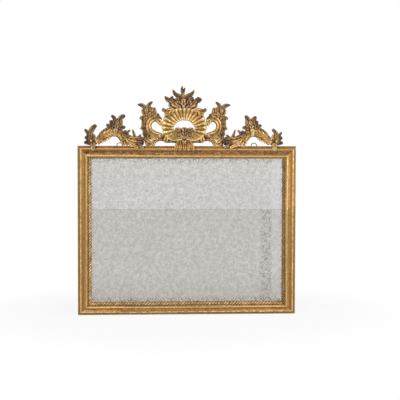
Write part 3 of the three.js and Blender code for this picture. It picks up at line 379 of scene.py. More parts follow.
def sawn_pine(name, along, grey=0.0):
    """Old pine, sawn and left bare: rings drawn out along the grain, saw marks across it, grey with dust."""
    back = settings().back
    material, add, shader, place_in = start_material(name)
    board = add("Attribute", attribute_name="board", out="Fac")  # a number of its own for each board
    shift = add("Math", board, 9, operation="MULTIPLY")
    apart = add("VectorMath", place_in, shift, operation="ADD")
    stretch = {"x": (0.9, 14, 14), "z": (14, 14, 0.9)}[along]
    grain_in = add("Mapping", at={"Vector": apart, "Scale": stretch})
    sawn = {"x": (160, 8, 8), "z": (8, 8, 160)}[along]  # saw marks about 6 mm apart
    saw_in = add("Mapping", at={"Vector": place_in, "Scale": sawn})
    rings = add(
        "TexWave", at={"Vector": grain_in, "Scale": 1.1, "Distortion": 7, "Detail": 3, "Detail Scale": 0.8},
        out="Fac", wave_type="BANDS", bands_direction="DIAGONAL",
    )
    fibre, stain, saw = (
        add("TexNoise", at={"Vector": where, "Scale": 1 / size, "Detail": detail, "Roughness": rough})
        for where, size, detail, rough in (
            (grain_in, 0.035, 6, 0.7), (place_in, 0.13, 4, 0.6), (saw_in, 1, 2, 0.55),
        )
    )
    own = add("Math", add("Math", board, 7.3, operation="MULTIPLY"), operation="FRACT")
    base = tuple(back.pine)
    for amount, over in (
        (own, tuple(0.62 * c for c in back.pine)),
        (add("MapRange", rings, 0.35, 0.95, 0, 0.65, **SMOOTH), back.pine_dark),
        (add("MapRange", fibre, 0.45, 0.8, 0, 0.5, **SMOOTH), rgb("4E3720")),
        (add("MapRange", stain, 0.50, 0.80, 0, 0.35, **SMOOTH), rgb("3F2D1C")),
        (grey, rgb("8C8378")),
    ):
        base = add("Mix", amount, at={6: base, 7: over}, **COLOURS)
    height = add("Math", saw, 0.35, operation="MULTIPLY")
    height = add("Math", fibre, 0.6, height, operation="MULTIPLY_ADD")
    join(shader, Base_Color=base, Normal=add("Bump", at={"Height": height, "Strength": 0.5, "Distance": 0.7 * MM}))
    shader.inputs["Roughness"].default_value = 0.82
    return material


def blackened_iron():
    """Hand-forged iron, blackened, with rust in its pits."""
    hanging = settings().hanging
    material, add, shader, place_in = start_material("blackened_iron")
    pits = add("TexNoise", at={"Vector": place_in, "Scale": 1 / 0.0035, "Detail": 5, "Roughness": 0.7})
    rust = add("TexNoise", at={"Vector": place_in, "Scale": 1 / 0.012, "Detail": 4, "Roughness": 0.55})
    rust = add("MapRange", rust, 0.5, 0.66, 0, 1, **SMOOTH)
    amount = add("Math", rust, 0.65, operation="MULTIPLY")
    join(
        shader, Base_Color=add("Mix", amount, at={6: hanging.iron, 7: hanging.rust}, **COLOURS),
        Metallic=add("Math", rust, -0.6, 0.85, operation="MULTIPLY_ADD"),
        Roughness=add("MapRange", pits, 0.3, 0.75, 0.42, 0.75, **SMOOTH),
        Normal=add("Bump", at={"Height": pits, "Strength": 0.6, "Distance": 0.4 * MM}),
    )
    return material


def dull_steel():
    """Plain steel screw heads, dull, finely mottled with brown."""
    material, add, shader, place_in = start_material("dull_steel")
    dull = add("TexNoise", at={"Vector": place_in, "Scale": 1 / 0.002, "Detail": 3, "Roughness": 0.7})
    amount = add("MapRange", dull, 0.4, 0.7, 0, 0.7, **SMOOTH)
    join(
        shader, Base_Color=add("Mix", amount, at={6: settings().hanging.steel, 7: rgb("564634")}, **COLOURS),
        Roughness=add("MapRange", dull, 0.3, 0.7, 0.32, 0.55, **SMOOTH),
    )
    shader.inputs["Metallic"].default_value = 0.9
    return material


# ---- making pieces ------------------------------------------------------------------------------
MERGE = 1e-6  # points closer than this become one
FLAT_ANGLE, SHARP_ANGLE = math.radians(2), math.radians(40)  # faces that lie flush, and edges that are eased


def finish_piece(name, bm, material, body, stands_for=(), smooth=True):
    """Turns a bmesh into a piece that rides on a body."""
    bmesh.ops.recalc_face_normals(bm, faces=bm.faces)
    mesh = bpy.data.meshes.new(name)
    bm.to_mesh(mesh)
    bm.free()
    if smooth:
        mesh.shade_smooth()
    mesh.materials.append(material)
    piece = bpy.data.objects.new(name, mesh)
    bpy.context.scene.collection.objects.link(piece)
    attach(piece, body)
    if stands_for:
        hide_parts(*stands_for)
    return piece


def eased_copy(node, material, arris, body="frame"):
    """A copy of a CAD node with its sharp edges eased."""
    bm = bmesh.new()
    bm.from_mesh(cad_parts[node].data)
    bmesh.ops.remove_doubles(bm, verts=bm.verts, dist=MERGE)
    bmesh.ops.dissolve_limit(bm, angle_limit=FLAT_ANGLE, verts=bm.verts, edges=bm.edges)
    sharp = [e for e in bm.edges if len(e.link_faces) == 2 and e.calc_face_angle(0) > SHARP_ANGLE]
    bmesh.ops.bevel(
        bm, geom=sharp, offset=arris, offset_type="OFFSET", segments=2, profile=0.5, affect="EDGES",
        clamp_overlap=True, material=-1,
    )
    board = bm.verts.layers.float.new("board")
    for vert in bm.verts:
        vert[board] = sum(map(ord, node)) % 17 / 17  # each board cut from another part of the log
    return finish_piece(node + "_eased", bm, material, body, [node], smooth=False)


def loft(bm, rings):
    """A closed body over a row of rings, drawn out ring by ring from one capped circle."""
    made = bmesh.ops.create_circle(bm, cap_ends=True, radius=1.0, segments=len(rings[0]))
    face = made["verts"][0].link_faces[0]
    for vert, co in zip(face.verts, rings[0]):
        vert.co = co
    for ring in rings[1:]:
        grown = bmesh.ops.extrude_face_region(bm, geom=[face])
        face = next(g for g in grown["geom"] if isinstance(g, bmesh.types.BMFace))
        for vert, co in zip(face.verts, ring):
            vert.co = co


def value_at(values, t):
    """Value at t (0 to 1) of a list of values at even steps, or the one value itself."""
    if isinstance(values, (int, float)):
        return values
    s = t * (len(values) - 1)
    i = min(int(s), len(values) - 2)
    return values[i] + (values[i + 1] - values[i]) * (s - i)


def curve_at(points, t):
    """Point at t (0 to 1) of a smooth line through the points."""
    s = t * (len(points) - 1)
    i = min(int(s), len(points) - 2)
    f = s - i
    p = [points[max(0, min(len(points) - 1, i + k))] for k in (-1, 0, 1, 2)]
    return 0.5 * (
        2 * p[1] + (p[2] - p[0]) * f + (2 * p[0] - 5 * p[1] + 4 * p[2] - p[3]) * f**2
        + (3 * p[1] - p[0] - 3 * p[2] + p[3]) * f**3
    )


# ---- mouldings and rope slip --------------------------------------------------------------------
FILLET, TORUS, COVE, RIDGE, QUIRK = (10 * MM, 19 * MM, 20 * MM, 14 * MM, 3 * MM)  # widths, outer edge inwards
MOULD_WIDTH = FILLET + TORUS + COVE + RIDGE + QUIRK
ROPE_WIDTH = 24 * MM
# Where the outer edge, the end of the torus, the ridge, the rope and the sight edge lie, in mm inwards: as the
# outline is drawn, and as the four hand-made lengths have them.
DRAWN_EDGES = (0, 29, 56, 66, 90)
SIDE_EDGES = {
    "top": (0, 29, 68, 75.5, 85), "bottom": (0, 26, 48, 57, 83.5), "left": (0, 29, 56, 66, 90),
    "right": (0, 29, 58, 70, 88),
}


def rounded(start, end, from_height, crown, to_height, steps):
    """Points of a rounded form, from start to end, that stands `crown` high at its middle."""
    points = []
    for i in range(steps + 1):
        t = i / steps
        base = from_height + (to_height - from_height) * t
        bulge = (crown - (from_height + to_height) / 2) * math.sin(math.pi * t)
        points.append((start + (end - start) * t, base + bulge))
    return points


def moulding_outline():
    """Section of the moulding: how far inwards and how far in front of the member each point is."""
    a, b, c, d = FILLET, FILLET + TORUS, FILLET + TORUS + COVE, MOULD_WIDTH - QUIRK
    return [
        (0, FIT), (0, 8 * MM), (0, 16 * MM), (1.2 * MM, 17 * MM), (5 * MM, 17 * MM), (a - MM, 16.8 * MM),
        *rounded(a, b, 17.5 * MM, 30 * MM, 23 * MM, 12),
        *rounded(b + MM, c, 21 * MM, 14 * MM, 19.5 * MM, 10),
        *rounded(c + MM, d, 21 * MM, 27.4 * MM, 17.5 * MM, 10),
        (d + MM, 16.4 * MM), (MOULD_WIDTH, 16.4 * MM), (MOULD_WIDTH, FIT),
    ]


def corner(side_x, side_z, inward):
    """Corner of the frame at a drawn distance inwards from its outer edge."""
    def made(side):
        return float(np.interp(inward / MM, DRAWN_EDGES, SIDE_EDGES[side])) * MM

    z = FRAME_TOP - made("top") if side_z > 0 else made("bottom")
    return Vector((side_x * (HALF_WIDTH - made("right" if side_x > 0 else "left")), 0, z))


# which way x and z go at the two ends of each side
ENDS = {
    "top": ((-1, 1), (1, 1)), "bottom": ((-1, -1), (1, -1)), "left": ((-1, -1), (-1, 1)), "right": ((1, -1), (1, 1)),
}


def strip_piece(name, side, outline, spacing, material, shape, relief):
    """A mitred strip along one side of the frame.

    `outline` holds (inward, forward) points. `shape(along, inward, forward)` gives how far forward a point of it
    stands in the end, and `relief(along, inward)` how proud it is of what lies round it, in mm.
    """
    first, last = ENDS[side]
    level = side in ("top", "bottom")
    bm = bmesh.new()
    rings = []
    rows = round(2 * (HALF_WIDTH if level else FRAME_TOP / 2) / spacing)
    for row in range(rows + 1):
        ring = []
        for inward, forward in outline:
            start, end = corner(*first, inward), corner(*last, inward)
            pull = (end - start).normalized() * FIT / 2
            co = (start + pull).lerp(end - pull, row / rows)
            along = co.x if level else co.z
            co.y = MEMBER_FRONT - (shape(along, inward, forward) if forward > FIT else forward)
            ring.append(co)
        rings.append(ring)
    loft(bm, rings)
    across = bm.verts.layers.float.new("across")
    proud = bm.verts.layers.float.new("relief")
    for vert in bm.verts:
        made = {
            "top": FRAME_TOP - vert.co.z, "bottom": vert.co.z,
            "left": vert.co.x + HALF_WIDTH, "right": HALF_WIDTH - vert.co.x,
        }[side]
        inward = float(np.interp(made / MM, SIDE_EDGES[side], DRAWN_EDGES)) * MM
        vert[across] = inward / MOULD_WIDTH
        vert[proud] = relief(vert.co.x if level else vert.co.z, inward)
    return finish_piece(name + "_gilt", bm, material, "frame", [name])


# how proud the moulding is of what lies round it, in mm, from its outer edge inwards
PROUD = [0.2, 0.1, 0.0, -0.5, 0.6, 1.0, 1.0, 0.7, 0.2, -0.3, -0.4, -0.4, -0.3, -0.1, 0.6, 1.1, 0.9, 0.4, 0.1]
# Tone of each form, from the outer edge inwards: fillet, torus, cove, ridge, quirk; part the leaf's own tone and part
# painted light:
# painted shade in the crease where the torus rises from the fillet, painted highlights on the crowns of the torus and
# ridge. The torus of the bottom length is browner.
TORUS_AT, LOW_TORUS = 0.34, "A8814C"
FORM_TONES_AND_SHADING = (
    (0.0, "A08250"), (0.17, "8E6E40"), (TORUS_AT, "CDA465"), (0.50, "C09252"), (0.70, "C69A58"), (0.84, "E2C68E"),
    (1.0, "B08A56"),
)
# how much darker each length is toned
MOULDING_DARKENING = {"top": 0.6, "bottom": 0.1, "left": -0.1, "right": -0.05}
# how dark each rope slip is toned; the right one is toned darker as painted shade
ROPE_GRIME_AND_SHADE = {"top": -0.45, "bottom": 0.0, "left": -0.2, "right": 0.6}


class OVERMANTEL_OT_mouldings(bpy.types.Operator):
    """Makes the four gilt mouldings"""

    bl_idname = "overmantel.mouldings"
    bl_label = "Mouldings"

    def execute(self, context):
        values = settings().moulding

        def waver(along, inward, forward):
            # waves about 200 mm long and 30 mm across
            return forward + values.waver * noise.noise(Vector((along * 5, inward * 30, 0)))

        def proud(along, inward):
            return value_at(PROUD, max(0.0, min(1.0, inward / MOULD_WIDTH)))

        for side in FRAME_SIDES:
            run = "x" if side in ("top", "bottom") else "z"
            forms = [(p, rgb(LOW_TORUS if side == "bottom" and p == TORUS_AT else c)) for p, c in FORM_TONES_AND_SHADING]
            material = gilding(
                f"gilt_moulding_{side}", grime_and_shade=MOULDING_DARKENING[side], red=0.4, forms=forms, run=run, dusty=0.6
            )
            strip_piece(
                f"moulding_{side}", side, moulding_outline(), values.step, material, waver, proud
            )
        return {"FINISHED"}


class OVERMANTEL_OT_rope_slip(bpy.types.Operator):
    """Makes the four twisted-rope slips next to the glass"""

    bl_idname = "overmantel.rope_slip"
    bl_label = "Rope Slip"

    def execute(self, context):
        values = settings().moulding
        start, end = MOULD_WIDTH + FIT, MOULD_WIDTH + ROPE_WIDTH
        crown = rounded(start + 0.5 * MM, end - 0.5 * MM, 10.5 * MM, 17 * MM, 7.5 * MM, 12)
        outline = [(start, FIT), (start, 9 * MM), *crown, (end, 6 * MM), (end, FIT)]
        for side, grime_and_shade in ROPE_GRIME_AND_SHADE.items():
            material = gilding(f"gilt_twist_{side}", grime_and_shade=grime_and_shade, red=0.35, olive=0.3, fade=0.3, dusty=0.3)
            lean = 1 if side in ("top", "right") else -1

            def strand(along, inward):
                # 1 on a strand and 0 between two; across the slip it turns by 1.25 strands
                phase = along / values.rope_pitch + lean * 1.25 * ((inward - start) / ROPE_WIDTH - 0.5)
                return abs(math.sin(math.pi * phase)) ** 0.6

            def twist(along, inward, forward):
                # the sides of the slip stay plain
                if not start + 0.2 * MM < inward < end - 0.2 * MM:
                    return forward
                return forward * (1 - values.rope_depth * (1 - strand(along, inward)))

            def proud(along, inward):
                crown_share = math.sin(math.pi * max(0.0, min(1.0, (inward - start) / ROPE_WIDTH)))
                return 2.6 * (strand(along, inward) - 0.7) + 0.8 * (crown_share - 0.5)

            strip_piece(f"rope_slip_{side}", side, outline, values.rope_step, material, twist, proud)
        return {"FINISHED"}


# ---- carving ------------------------------------------------------------------------------------
def place(u, v, relief):
    """A point of the crest's pattern: u right and v up from its foot, relief out from its flat back."""
    shift = float(np.interp(u, SHIFT_AT, SHIFT))
    return Vector((CREST_X + shift + u * SQUARE, CREST_BACK - relief * SQUARE, REST_Z + v * SQUARE))


FACE_SHARES = [1 - i / 7 for i in range(15)]  # across a limb's face, from one edge to the other
LEAN = 0.32  # how far the lobes lean towards the tip
LIMB_BACK = ((-0.86, 0.55), (-0.4, 0.95), (0.4, 0.95), (0.86, 0.55))  # share of the half-width and of the thickness
ROW = 0.34  # spacing of the rows along a limb, in squares


def face_height(form, s, t, lobes, vein):
    """Height of a limb's face, about 0 to 1, at share s of its half-width and t of its length.

    A reed has a raised line along each edge and the middle, a feather has slanting ripples, a hollow has a trough
    and a leaf has a vein and slanting pipes that run out into its lobes.
    """
    a = abs(s)
    dome = max(0.0, 1 - a**2.6) ** 0.65
    if form == "reed":
        return dome * (0.8 - 0.2 * math.cos(2 * math.pi * s))
    if form == "feather":
        ripple = 0.5 + 0.5 * math.cos(2 * math.pi * (lobes * t - 0.9 * a))
        return dome * (0.64 + 0.36 * ripple * (0.15 + 0.75 * a)) * (1 - 0.12 * math.exp(-((s / 0.2) ** 2)))
    if form == "hollow":
        return dome * (1 - 0.5 * math.exp(-((s / 0.42) ** 2)) * (1 - 0.3 * math.cos(6 * math.pi * s)))
    if form == "plain":
        return dome
    groove = 1 - vein * math.exp(-((s / 0.17) ** 2))
    pipes = 0.0
    if lobes:
        pipes = 0.30 * math.cos(2 * math.pi * (lobes * t - 0.55 * a + 0.1)) * a * (1.15 - a) * 2
    return dome * groove + pipes * dome + 0.12 * a**5


def limb(bm, spine, half, side=1, crown=1.0, form="leaf", lobes=0, vein=0.42, flat_back=False, back=0.9, cut=0.30):
    """One carved leaf or scroll limb.

    The spine's points are (u, v, relief of the edges) and `half` is its half-width, one value or one for each
    even step. `crown` is how far its face rises, `cut` how deep the notches between its lobes are, `vein` how
    deep its middle vein is and `back` how thick it is behind its edges. A flat back reaches to the ground.
    """
    points = [Vector(p) for p in spine]
    length_squares = sum((b - a).length for a, b in zip(points, points[1:]))
    rows = max(8, round(length_squares / ROW))
    blunt = min(0.4, value_at(half, 1) / length_squares)  # share of the length that rounds off the tip
    rings = []
    for row in range(rows + 1):
        t = row / rows
        here = curve_at(points, t)
        ahead = curve_at(points, min(1.0, t + 0.02)) - curve_at(points, max(0.0, t - 0.02))
        along = Vector((ahead.x, ahead.y)).normalized()
        wide = value_at(half, t)
        if t > 1 - blunt:
            wide *= max(0.12, 1 - ((t - 1 + blunt) / blunt) ** 2) ** 0.5
        # cut in between two lobes; thinner where the limb is narrow
        notch = (1 - abs(math.sin(math.pi * (lobes * t + 0.15)))) ** 1.6 if lobes else 0.0
        rise = crown * min(1.0, 0.35 + wide)
        ring = []
        for s in FACE_SHARES:
            reach_out = s * wide * (1 - cut * notch * abs(s))
            lead = LEAN * wide * abs(s) ** 1.5 * (1 if lobes else 0)
            u = here.x - along.y * reach_out + along.x * lead
            v = here.y + along.x * reach_out + along.y * lead
            ring.append(place(side * u, v, here.z + rise * face_height(form, s, t, lobes, vein)))
        for s, depth in LIMB_BACK:
            u, v = here.x - along.y * s * wide, here.y + along.x * s * wide
            ring.append(place(side * u, v, 0.0 if flat_back else max(0.0, here.z - back * depth)))
        rings.append(ring)
    loft(bm, rings)


def bead(bm, u, v, relief, radius, side=1, depth=1.0):
    """A round bud, berry or eye."""
    turn = Matrix.Translation(place(side * u, v, relief)) @ Matrix.Diagonal((1, depth, 1, 1))
    bmesh.ops.create_uvsphere(bm, u_segments=20, v_segments=12, radius=radius * SQUARE, matrix=turn)


def volute(bm, u, v, relief, radius, side=1, turns=1.4, start=90, hand=1, thick=0.8):
    """A coiled scroll end round an eye."""
    spine = []
    for i in range(14):
        t = i / 13
        angle = math.radians(start + hand * 360 * turns * t)
        r = radius * (1 - 0.78 * t)
        spine.append((u + r * math.cos(angle), v + r * math.sin(angle), relief + 0.5 * t))
    limb(bm, spine, [thick, thick * 0.95, thick * 0.75, thick * 0.45], side, crown=1.0, form="plain", back=2.2)
    bead(bm, u, v, relief + 0.7, radius * 0.34, side)


def store(mesh, name, values):
    """Keeps one number for each point of a mesh."""
    layer = mesh.attributes.get(name) or mesh.attributes.new(name, "FLOAT", "POINT")
    layer.data.foreach_set("value", values.astype(np.float32))


# A hollow's depth, which the gilding darkens as painted shade, is measured from the front of the carving round it, kept
# in square cells: what lies within NEAR cells counts, and the steps between cells are smoothed out.
CELL, NEAR, CELL_SMOOTHING = 2.5 * MM, 4, 6
DEEP_FROM, DEEP_RANGE = 3 * MM, 14 * MM
RELIEF_SMOOTHING = 60  # passes of the surface that relief is measured from


def mark_surface(mesh, tips):
    """Stores what the gilding needs: `relief`, `deep` and `tip` at every point.

    `relief` is how far a point stands over the smoothed surface round it in mm, `deep` is 1 for a point
    17 mm behind the front of what is round it, where the gilding paints shade, and `tip` is 1 at a leaf's tip.
    `tips` holds each tip's place and how far its dirt reaches.
    """
    count = len(mesh.vertices)
    co = np.empty(count * 3)
    mesh.vertices.foreach_get("co", co)
    co = co.reshape(-1, 3)
    ends = np.empty(len(mesh.edges) * 2, int)
    mesh.edges.foreach_get("vertices", ends)
    first, second = ends[0::2], ends[1::2]
    degree = np.bincount(ends, minlength=count)
    smooth = co.copy()
    for _ in range(RELIEF_SMOOTHING):
        for axis in range(3):
            line = smooth[:, axis]
            total = np.bincount(first, line[second], count) + np.bincount(second, line[first], count)
            smooth[:, axis] = 0.5 * line + 0.5 * total / degree
    normals = np.empty(count * 3)
    mesh.vertex_normals.foreach_get("vector", normals)
    store(mesh, "relief", ((co - smooth) * normals.reshape(-1, 3)).sum(1) / MM)

    cell = ((co[:, [0, 2]] - co[:, [0, 2]].min(0)) / CELL).astype(int) + 2 * NEAR
    front = np.full(cell.max(0) + 2 * NEAR + 1, co[:, 1].max())
    np.minimum.at(front, (cell[:, 0], cell[:, 1]), co[:, 1])
    for _ in range(NEAR):
        front = np.min([np.roll(front, by, axis) for axis in (0, 1) for by in (-1, 0, 1)], axis=0)
    for _ in range(CELL_SMOOTHING):
        front = np.mean([np.roll(front, by, axis) for axis in (0, 1) for by in (-1, 0, 1)], axis=0)
    store(mesh, "deep", np.clip((co[:, 1] - front[cell[:, 0], cell[:, 1]] - DEEP_FROM) / DEEP_RANGE, 0, 1.6))

    dark = np.zeros(count)
    for tip, reach in tips:
        dark = np.maximum(dark, 1.15 - np.linalg.norm(co - np.array(tip), axis=1) / reach)
    store(mesh, "tip", np.clip(dark, 0, 1))


TIP_REACH, SMALL_TIP = 55 * MM, 20 * MM  # how far the dirt reaches down from the tip of a leaf and a small one


def carve(name, specs, material, side=1):
    """Fuses the shapes of a list into one carved body and seats it on the rail."""
    bm = bmesh.new()
    tips = []
    for shape, values in specs:
        values = dict(values)
        reach = values.pop("tip", TIP_REACH) if shape is limb else 0
        if reach:
            u, v, relief = values["spine"][-1]
            tips.append((place(side * u, v, relief), reach))
        shape(bm, side=side, **values)
    bmesh.ops.recalc_face_normals(bm, faces=bm.faces)
    mesh = bpy.data.meshes.new(name)
    bm.to_mesh(mesh)
    bm.free()
    draft = bpy.data.objects.new(name + "_draft", mesh)
    bpy.context.scene.collection.objects.link(draft)
    fuse = draft.modifiers.new("fuse", "REMESH")
    fuse.mode = "VOXEL"
    fuse.voxel_size = settings().carving.grain * 1
    bpy.context.view_layer.update()
    fused = bpy.data.meshes.new_from_object(draft.evaluated_get(bpy.context.evaluated_depsgraph_get()))
    bpy.data.objects.remove(draft)
    bm = bmesh.new()
    bm.from_mesh(fused)
    for _ in range(2):
        bmesh.ops.smooth_vert(bm, verts=bm.verts, factor=0.5, use_axis_x=True, use_axis_y=True, use_axis_z=True)
    front = MOULD_FRONT - FIT
    for vert in bm.verts:
        co = vert.co
        co.y = min(co.y, CREST_BACK)
        if co.z < REST_Z and co.y > front:
            if REST_Z - co.z < co.y - front:
                co.z = REST_Z
            else:
                co.y = front
    piece = finish_piece(name + "_gilt", bm, material, "frame", [name])
    mark_surface(piece.data, tips)
    return piece


def leaf(*spine, half, **values):
    """A limb for a list of shapes; its end is a sooty tip."""
    return limb, dict(spine=spine, half=half, **values)


def lobe(*spine, half, **values):
    """A limb whose end isn't a sooty tip."""
    return leaf(*spine, half=half, tip=0, **values)


def bud(u, v, relief, radius, **values):
    return bead, dict(u=u, v=v, relief=relief, radius=radius, **values)


def coil(u, v, relief, radius, **values):
    return volute, dict(u=u, v=v, relief=relief, radius=radius, **values)


# The shell's fan starts at this angle in degrees. Its lip is smooth up to SMOOTH_TO, and the flutes reach their full
# depth RUN_OUT further on.
SHELL_FROM, SMOOTH_TO, RUN_OUT = -78, -34, 16
SHELL_CENTRE = (0, 11.2)
ROWS_PER_FLUTE = 10
# share of the way out and relief of the fan's face
SHELL_FACE = ((0, 2.4), (0.07, 2.9), (0.3, 3.0), (0.6, 3.5), (0.85, 4.3), (0.95, 4.4), (1, 3.7))
# radii of one half of the fan, from its lower end up to the middle flute
SHELL_OUTER = [7.6, 8.8, 11.2, 13.0, 14.4, 15.0, 15.2, 15.6, 15.2, 14.4, 14.0]
SHELL_INNER = [2.6, 2.9, 3.4, 4.2, 5.6, 7.0, 6.6, 6.2, 6.0, 5.7, 5.4]


def both_halves(values):
    return [*values, *values[::-1]]


def shell_fan(bm, side=1):
    """The fluted fan, drawn round its centre; its two lower ends run out into a smooth lip."""
    carving = settings().carving
    depth = carving.flute_depth / SQUARE
    rows = carving.flutes * ROWS_PER_FLUTE
    rings = []
    for row in range(rows + 1):
        t = row / rows
        turn = SHELL_FROM + 2 * (90 - SHELL_FROM) * t
        angle = math.radians(turn)
        fluted = max(0.0, min(1.0, (turn - SMOOTH_TO) / RUN_OUT, (180 - SMOOTH_TO - turn) / RUN_OUT))
        rib = abs(math.sin(math.pi * carving.flutes * t)) ** 0.9  # 1 on a rib, 0 in the groove
        sink = depth * (1 - rib) * fluted
        far = value_at(both_halves(SHELL_OUTER), t) * (1 - 0.05 * (1 - rib) * fluted)
        near = value_at(both_halves(SHELL_INNER), t) + 0.45 * (1 - rib) * fluted
        ring = []
        for part, relief in SHELL_FACE:
            ring.append((near + (far - near) * part, relief - sink * (0.4 + 0.6 * part)))
        ring += [(far, 2.6), (near + (far - near) * 0.7, 0.5), (near, 0.5)]
        rings.append([
            place(SHELL_CENTRE[0] + r * math.cos(angle), SHELL_CENTRE[1] + r * math.sin(angle), relief)
            for r, relief in ring
        ])
    loft(bm, rings)


SHELL = [
    (shell_fan, {}),
    lobe((-6, 8.2, 1.2), (0, 7.6, 1.2), (6, 8.2, 1.2), half=2.8, crown=0.4, form="plain", flat_back=True),
    *[part for m in (-1, 1) for part in (
        lobe((m * 6.4, 23.4, 3.4), (m * 9, 23.2, 3.8), (m * 11.4, 22.6, 3.8), (m * 13.4, 23.4, 3.6),
             half=[1.2, 2.0, 1.8, 0.9], lobes=3, back=2.4, crown=1.1),
        lobe((m * 9.4, 21.6, 3.6), (m * 11.6, 20.8, 3.8), (m * 12.8, 19.2, 3.6), half=[1.3, 1.2, 0.5], back=2),
        bud(m * 13.7, 23.5, 3.5, 1.15),
        leaf((m * 12.8, 23.2, 3.2), (m * 13.6, 24, 3.4), (m * 13.9, 24.9, 3.5), half=0.7),
    )],
]

KNOP = [
    lobe((0, 7.4, 2.8), (0, 9.8, 3.4), (0, 12.2, 3.4), half=[1.7, 2.1, 1.5], crown=1.5, lobes=2, back=2.4),
    *[part for m in (-1, 1) for part in (
        lobe((m * 0.9, 8.2, 2.8), (m * 2.9, 10.2, 3.3), (m * 6.2, 10.9, 3.2), half=[1.4, 1.8, 0.9], crown=1.1, lobes=2,
             back=1.8),
        coil(m * 3.5, 7, 2.9, 2.2, start=95, hand=-m, turns=1.5, thick=0.85),
        lobe((m * 1.8, 5.2, 2.4), (m * 4.4, 4.4, 2.6), (m * 6.2, 5.2, 2.4), half=[0.9, 1.1, 0.5], back=1.4),
    )],
    lobe((0, 9, 2.2), (0, 6.6, 2.6), (0, 4.4, 2.6), half=[1.4, 1.1, 1.5], crown=1.6, form="hollow", back=1.8),
]

DROP = [
    lobe((0, 5.6, 2.6), (0, 3.2, 3.0), (0, 0.8, 3.8), (0, -1.8, 4.6), half=[4.4, 4.5, 4.2, 5.6], crown=0.8,
         form="plain", flat_back=True),
    *[lobe((u * 0.45, 5.0, 3.0), (u * 0.72, 2.4, 3.9), (u * 0.94, -0.6, 4.9), (u * 1.08, -3, 4.9),
           half=[0.9, 1.05, 1.4, 0.9], crown=0.8, vein=0.45, back=1.6) for u in (-5.6, -2.8, 0, 2.8, 5.6)],
    *[lobe((0, 2.2, 4.3), (math.cos(a), 2.2 + math.sin(a), 4.6), (1.9 * math.cos(a), 2.2 + 1.9 * math.sin(a), 4.2),
           half=[0.4, 0.75, 0.4], crown=0.8, vein=0.3, back=1.0) for a in (0.8, 2.3, 3.9, 5.5)],
    bud(0, 2.2, 4.9, 0.55), bud(0, 4.9, 3.8, 0.9), bud(-2.2, 4.4, 3.8, 0.6), bud(2.2, 4.4, 3.8, 0.6),
]

FINIAL = [
    lobe((-0.6, 23.8, 2), (-0.6, 26.6, 2.4), (-0.6, 29.4, 2.4), (-0.5, 32.2, 2.2), half=[6.6, 8.4, 6.6, 2.2],
         crown=1.1, form="plain", back=1.6),
    # lower leaves that fold forward
    lobe((-2.4, 24.4, 3), (-5.4, 26.4, 3.4), (-8, 29, 3.6), (-9.6, 30.2, 3.6), half=[1.5, 2.3, 1.9, 0.8], lobes=3,
         crown=1.2),
    lobe((1.4, 24.4, 3), (4.4, 26.2, 3.4), (6.6, 28.6, 3.6), (7.8, 30, 3.6), half=[1.5, 2.3, 1.9, 0.8], lobes=3,
         crown=1.2),
    lobe((-0.6, 24.2, 3.2), (-0.6, 27.4, 3.6), (-0.6, 30.8, 3.6), half=[1.2, 2.1, 1.2], lobes=3, crown=1.3),
    lobe((-3.4, 27.4, 3), (-4.4, 30, 3.6), (-5, 31.6, 4), half=[1.5, 1.7, 0.8], lobes=2),
    lobe((2.4, 27.4, 3), (3.6, 30, 3.6), (4.8, 31.8, 4), half=[1.5, 1.7, 0.8], lobes=2),
    # side tips
    leaf((-5.4, 27.6, 2.6), (-8.4, 29.2, 2.9), (-11, 30.4, 3.4), (-12.8, 32.4, 3.9), half=[2.2, 2.1, 1.5, 0.5],
         crown=1.1, lobes=2),
    leaf((-6.4, 29.4, 2.8), (-8.4, 31.2, 3.2), (-7.2, 32.4, 3.4), half=[1.3, 1.1, 0.5]),
    leaf((4.8, 27.6, 2.6), (7.4, 28.8, 2.9), (9.4, 29.8, 3.3), (11.2, 31, 3.8), half=[2.2, 2, 1.6, 1.0], crown=1.1,
         lobes=2),
    leaf((7.4, 29.6, 3), (9, 31.2, 3.2), (9.8, 32, 3.5), half=[1.1, 1, 0.5]),
    leaf((4.4, 29.4, 2.8), (5.2, 31.2, 3.2), (5.6, 32.2, 3.4), half=[1.5, 1.2, 0.6]),
    lobe((-8.6, 24.8, 2.4), (-9.4, 26.8, 2.6), (-8.8, 28.6, 2.8), half=[0.9, 1.2, 0.7]),
    lobe((7, 24.8, 2.4), (7.8, 26.6, 2.6), (7.2, 28.4, 2.8), half=[0.9, 1.2, 0.7]),
    # upper spray
    leaf((-0.9, 31.4, 2.6), (-3.8, 32.7, 2.9), (-6.2, 34.2, 3.4), (-7.5, 36.8, 4), half=[1.3, 1.7, 1.3, 0.4]),
    leaf((0.2, 31.4, 2.6), (2.8, 32.9, 2.9), (5, 34.2, 3.4), (6.5, 36.4, 4), half=[1.3, 1.7, 1.3, 0.4]),
    leaf((-0.7, 31, 2.8), (-1.1, 34.6, 3.0), (-1.6, 37, 3.2), (-1.2, 39.2, 3.4), half=[1.3, 1.2, 0.9, 0.35],
         crown=1.2),
    leaf((-0.6, 34.6, 2.8), (-0.1, 36.6, 3), (0.5, 38.2, 3.4), half=[0.8, 0.75, 0.35]),
    bud(-4.6, 29, 3.8, 1.0), bud(4, 29, 3.8, 1.0), bud(-0.6, 26, 4.4, 1.0),
]

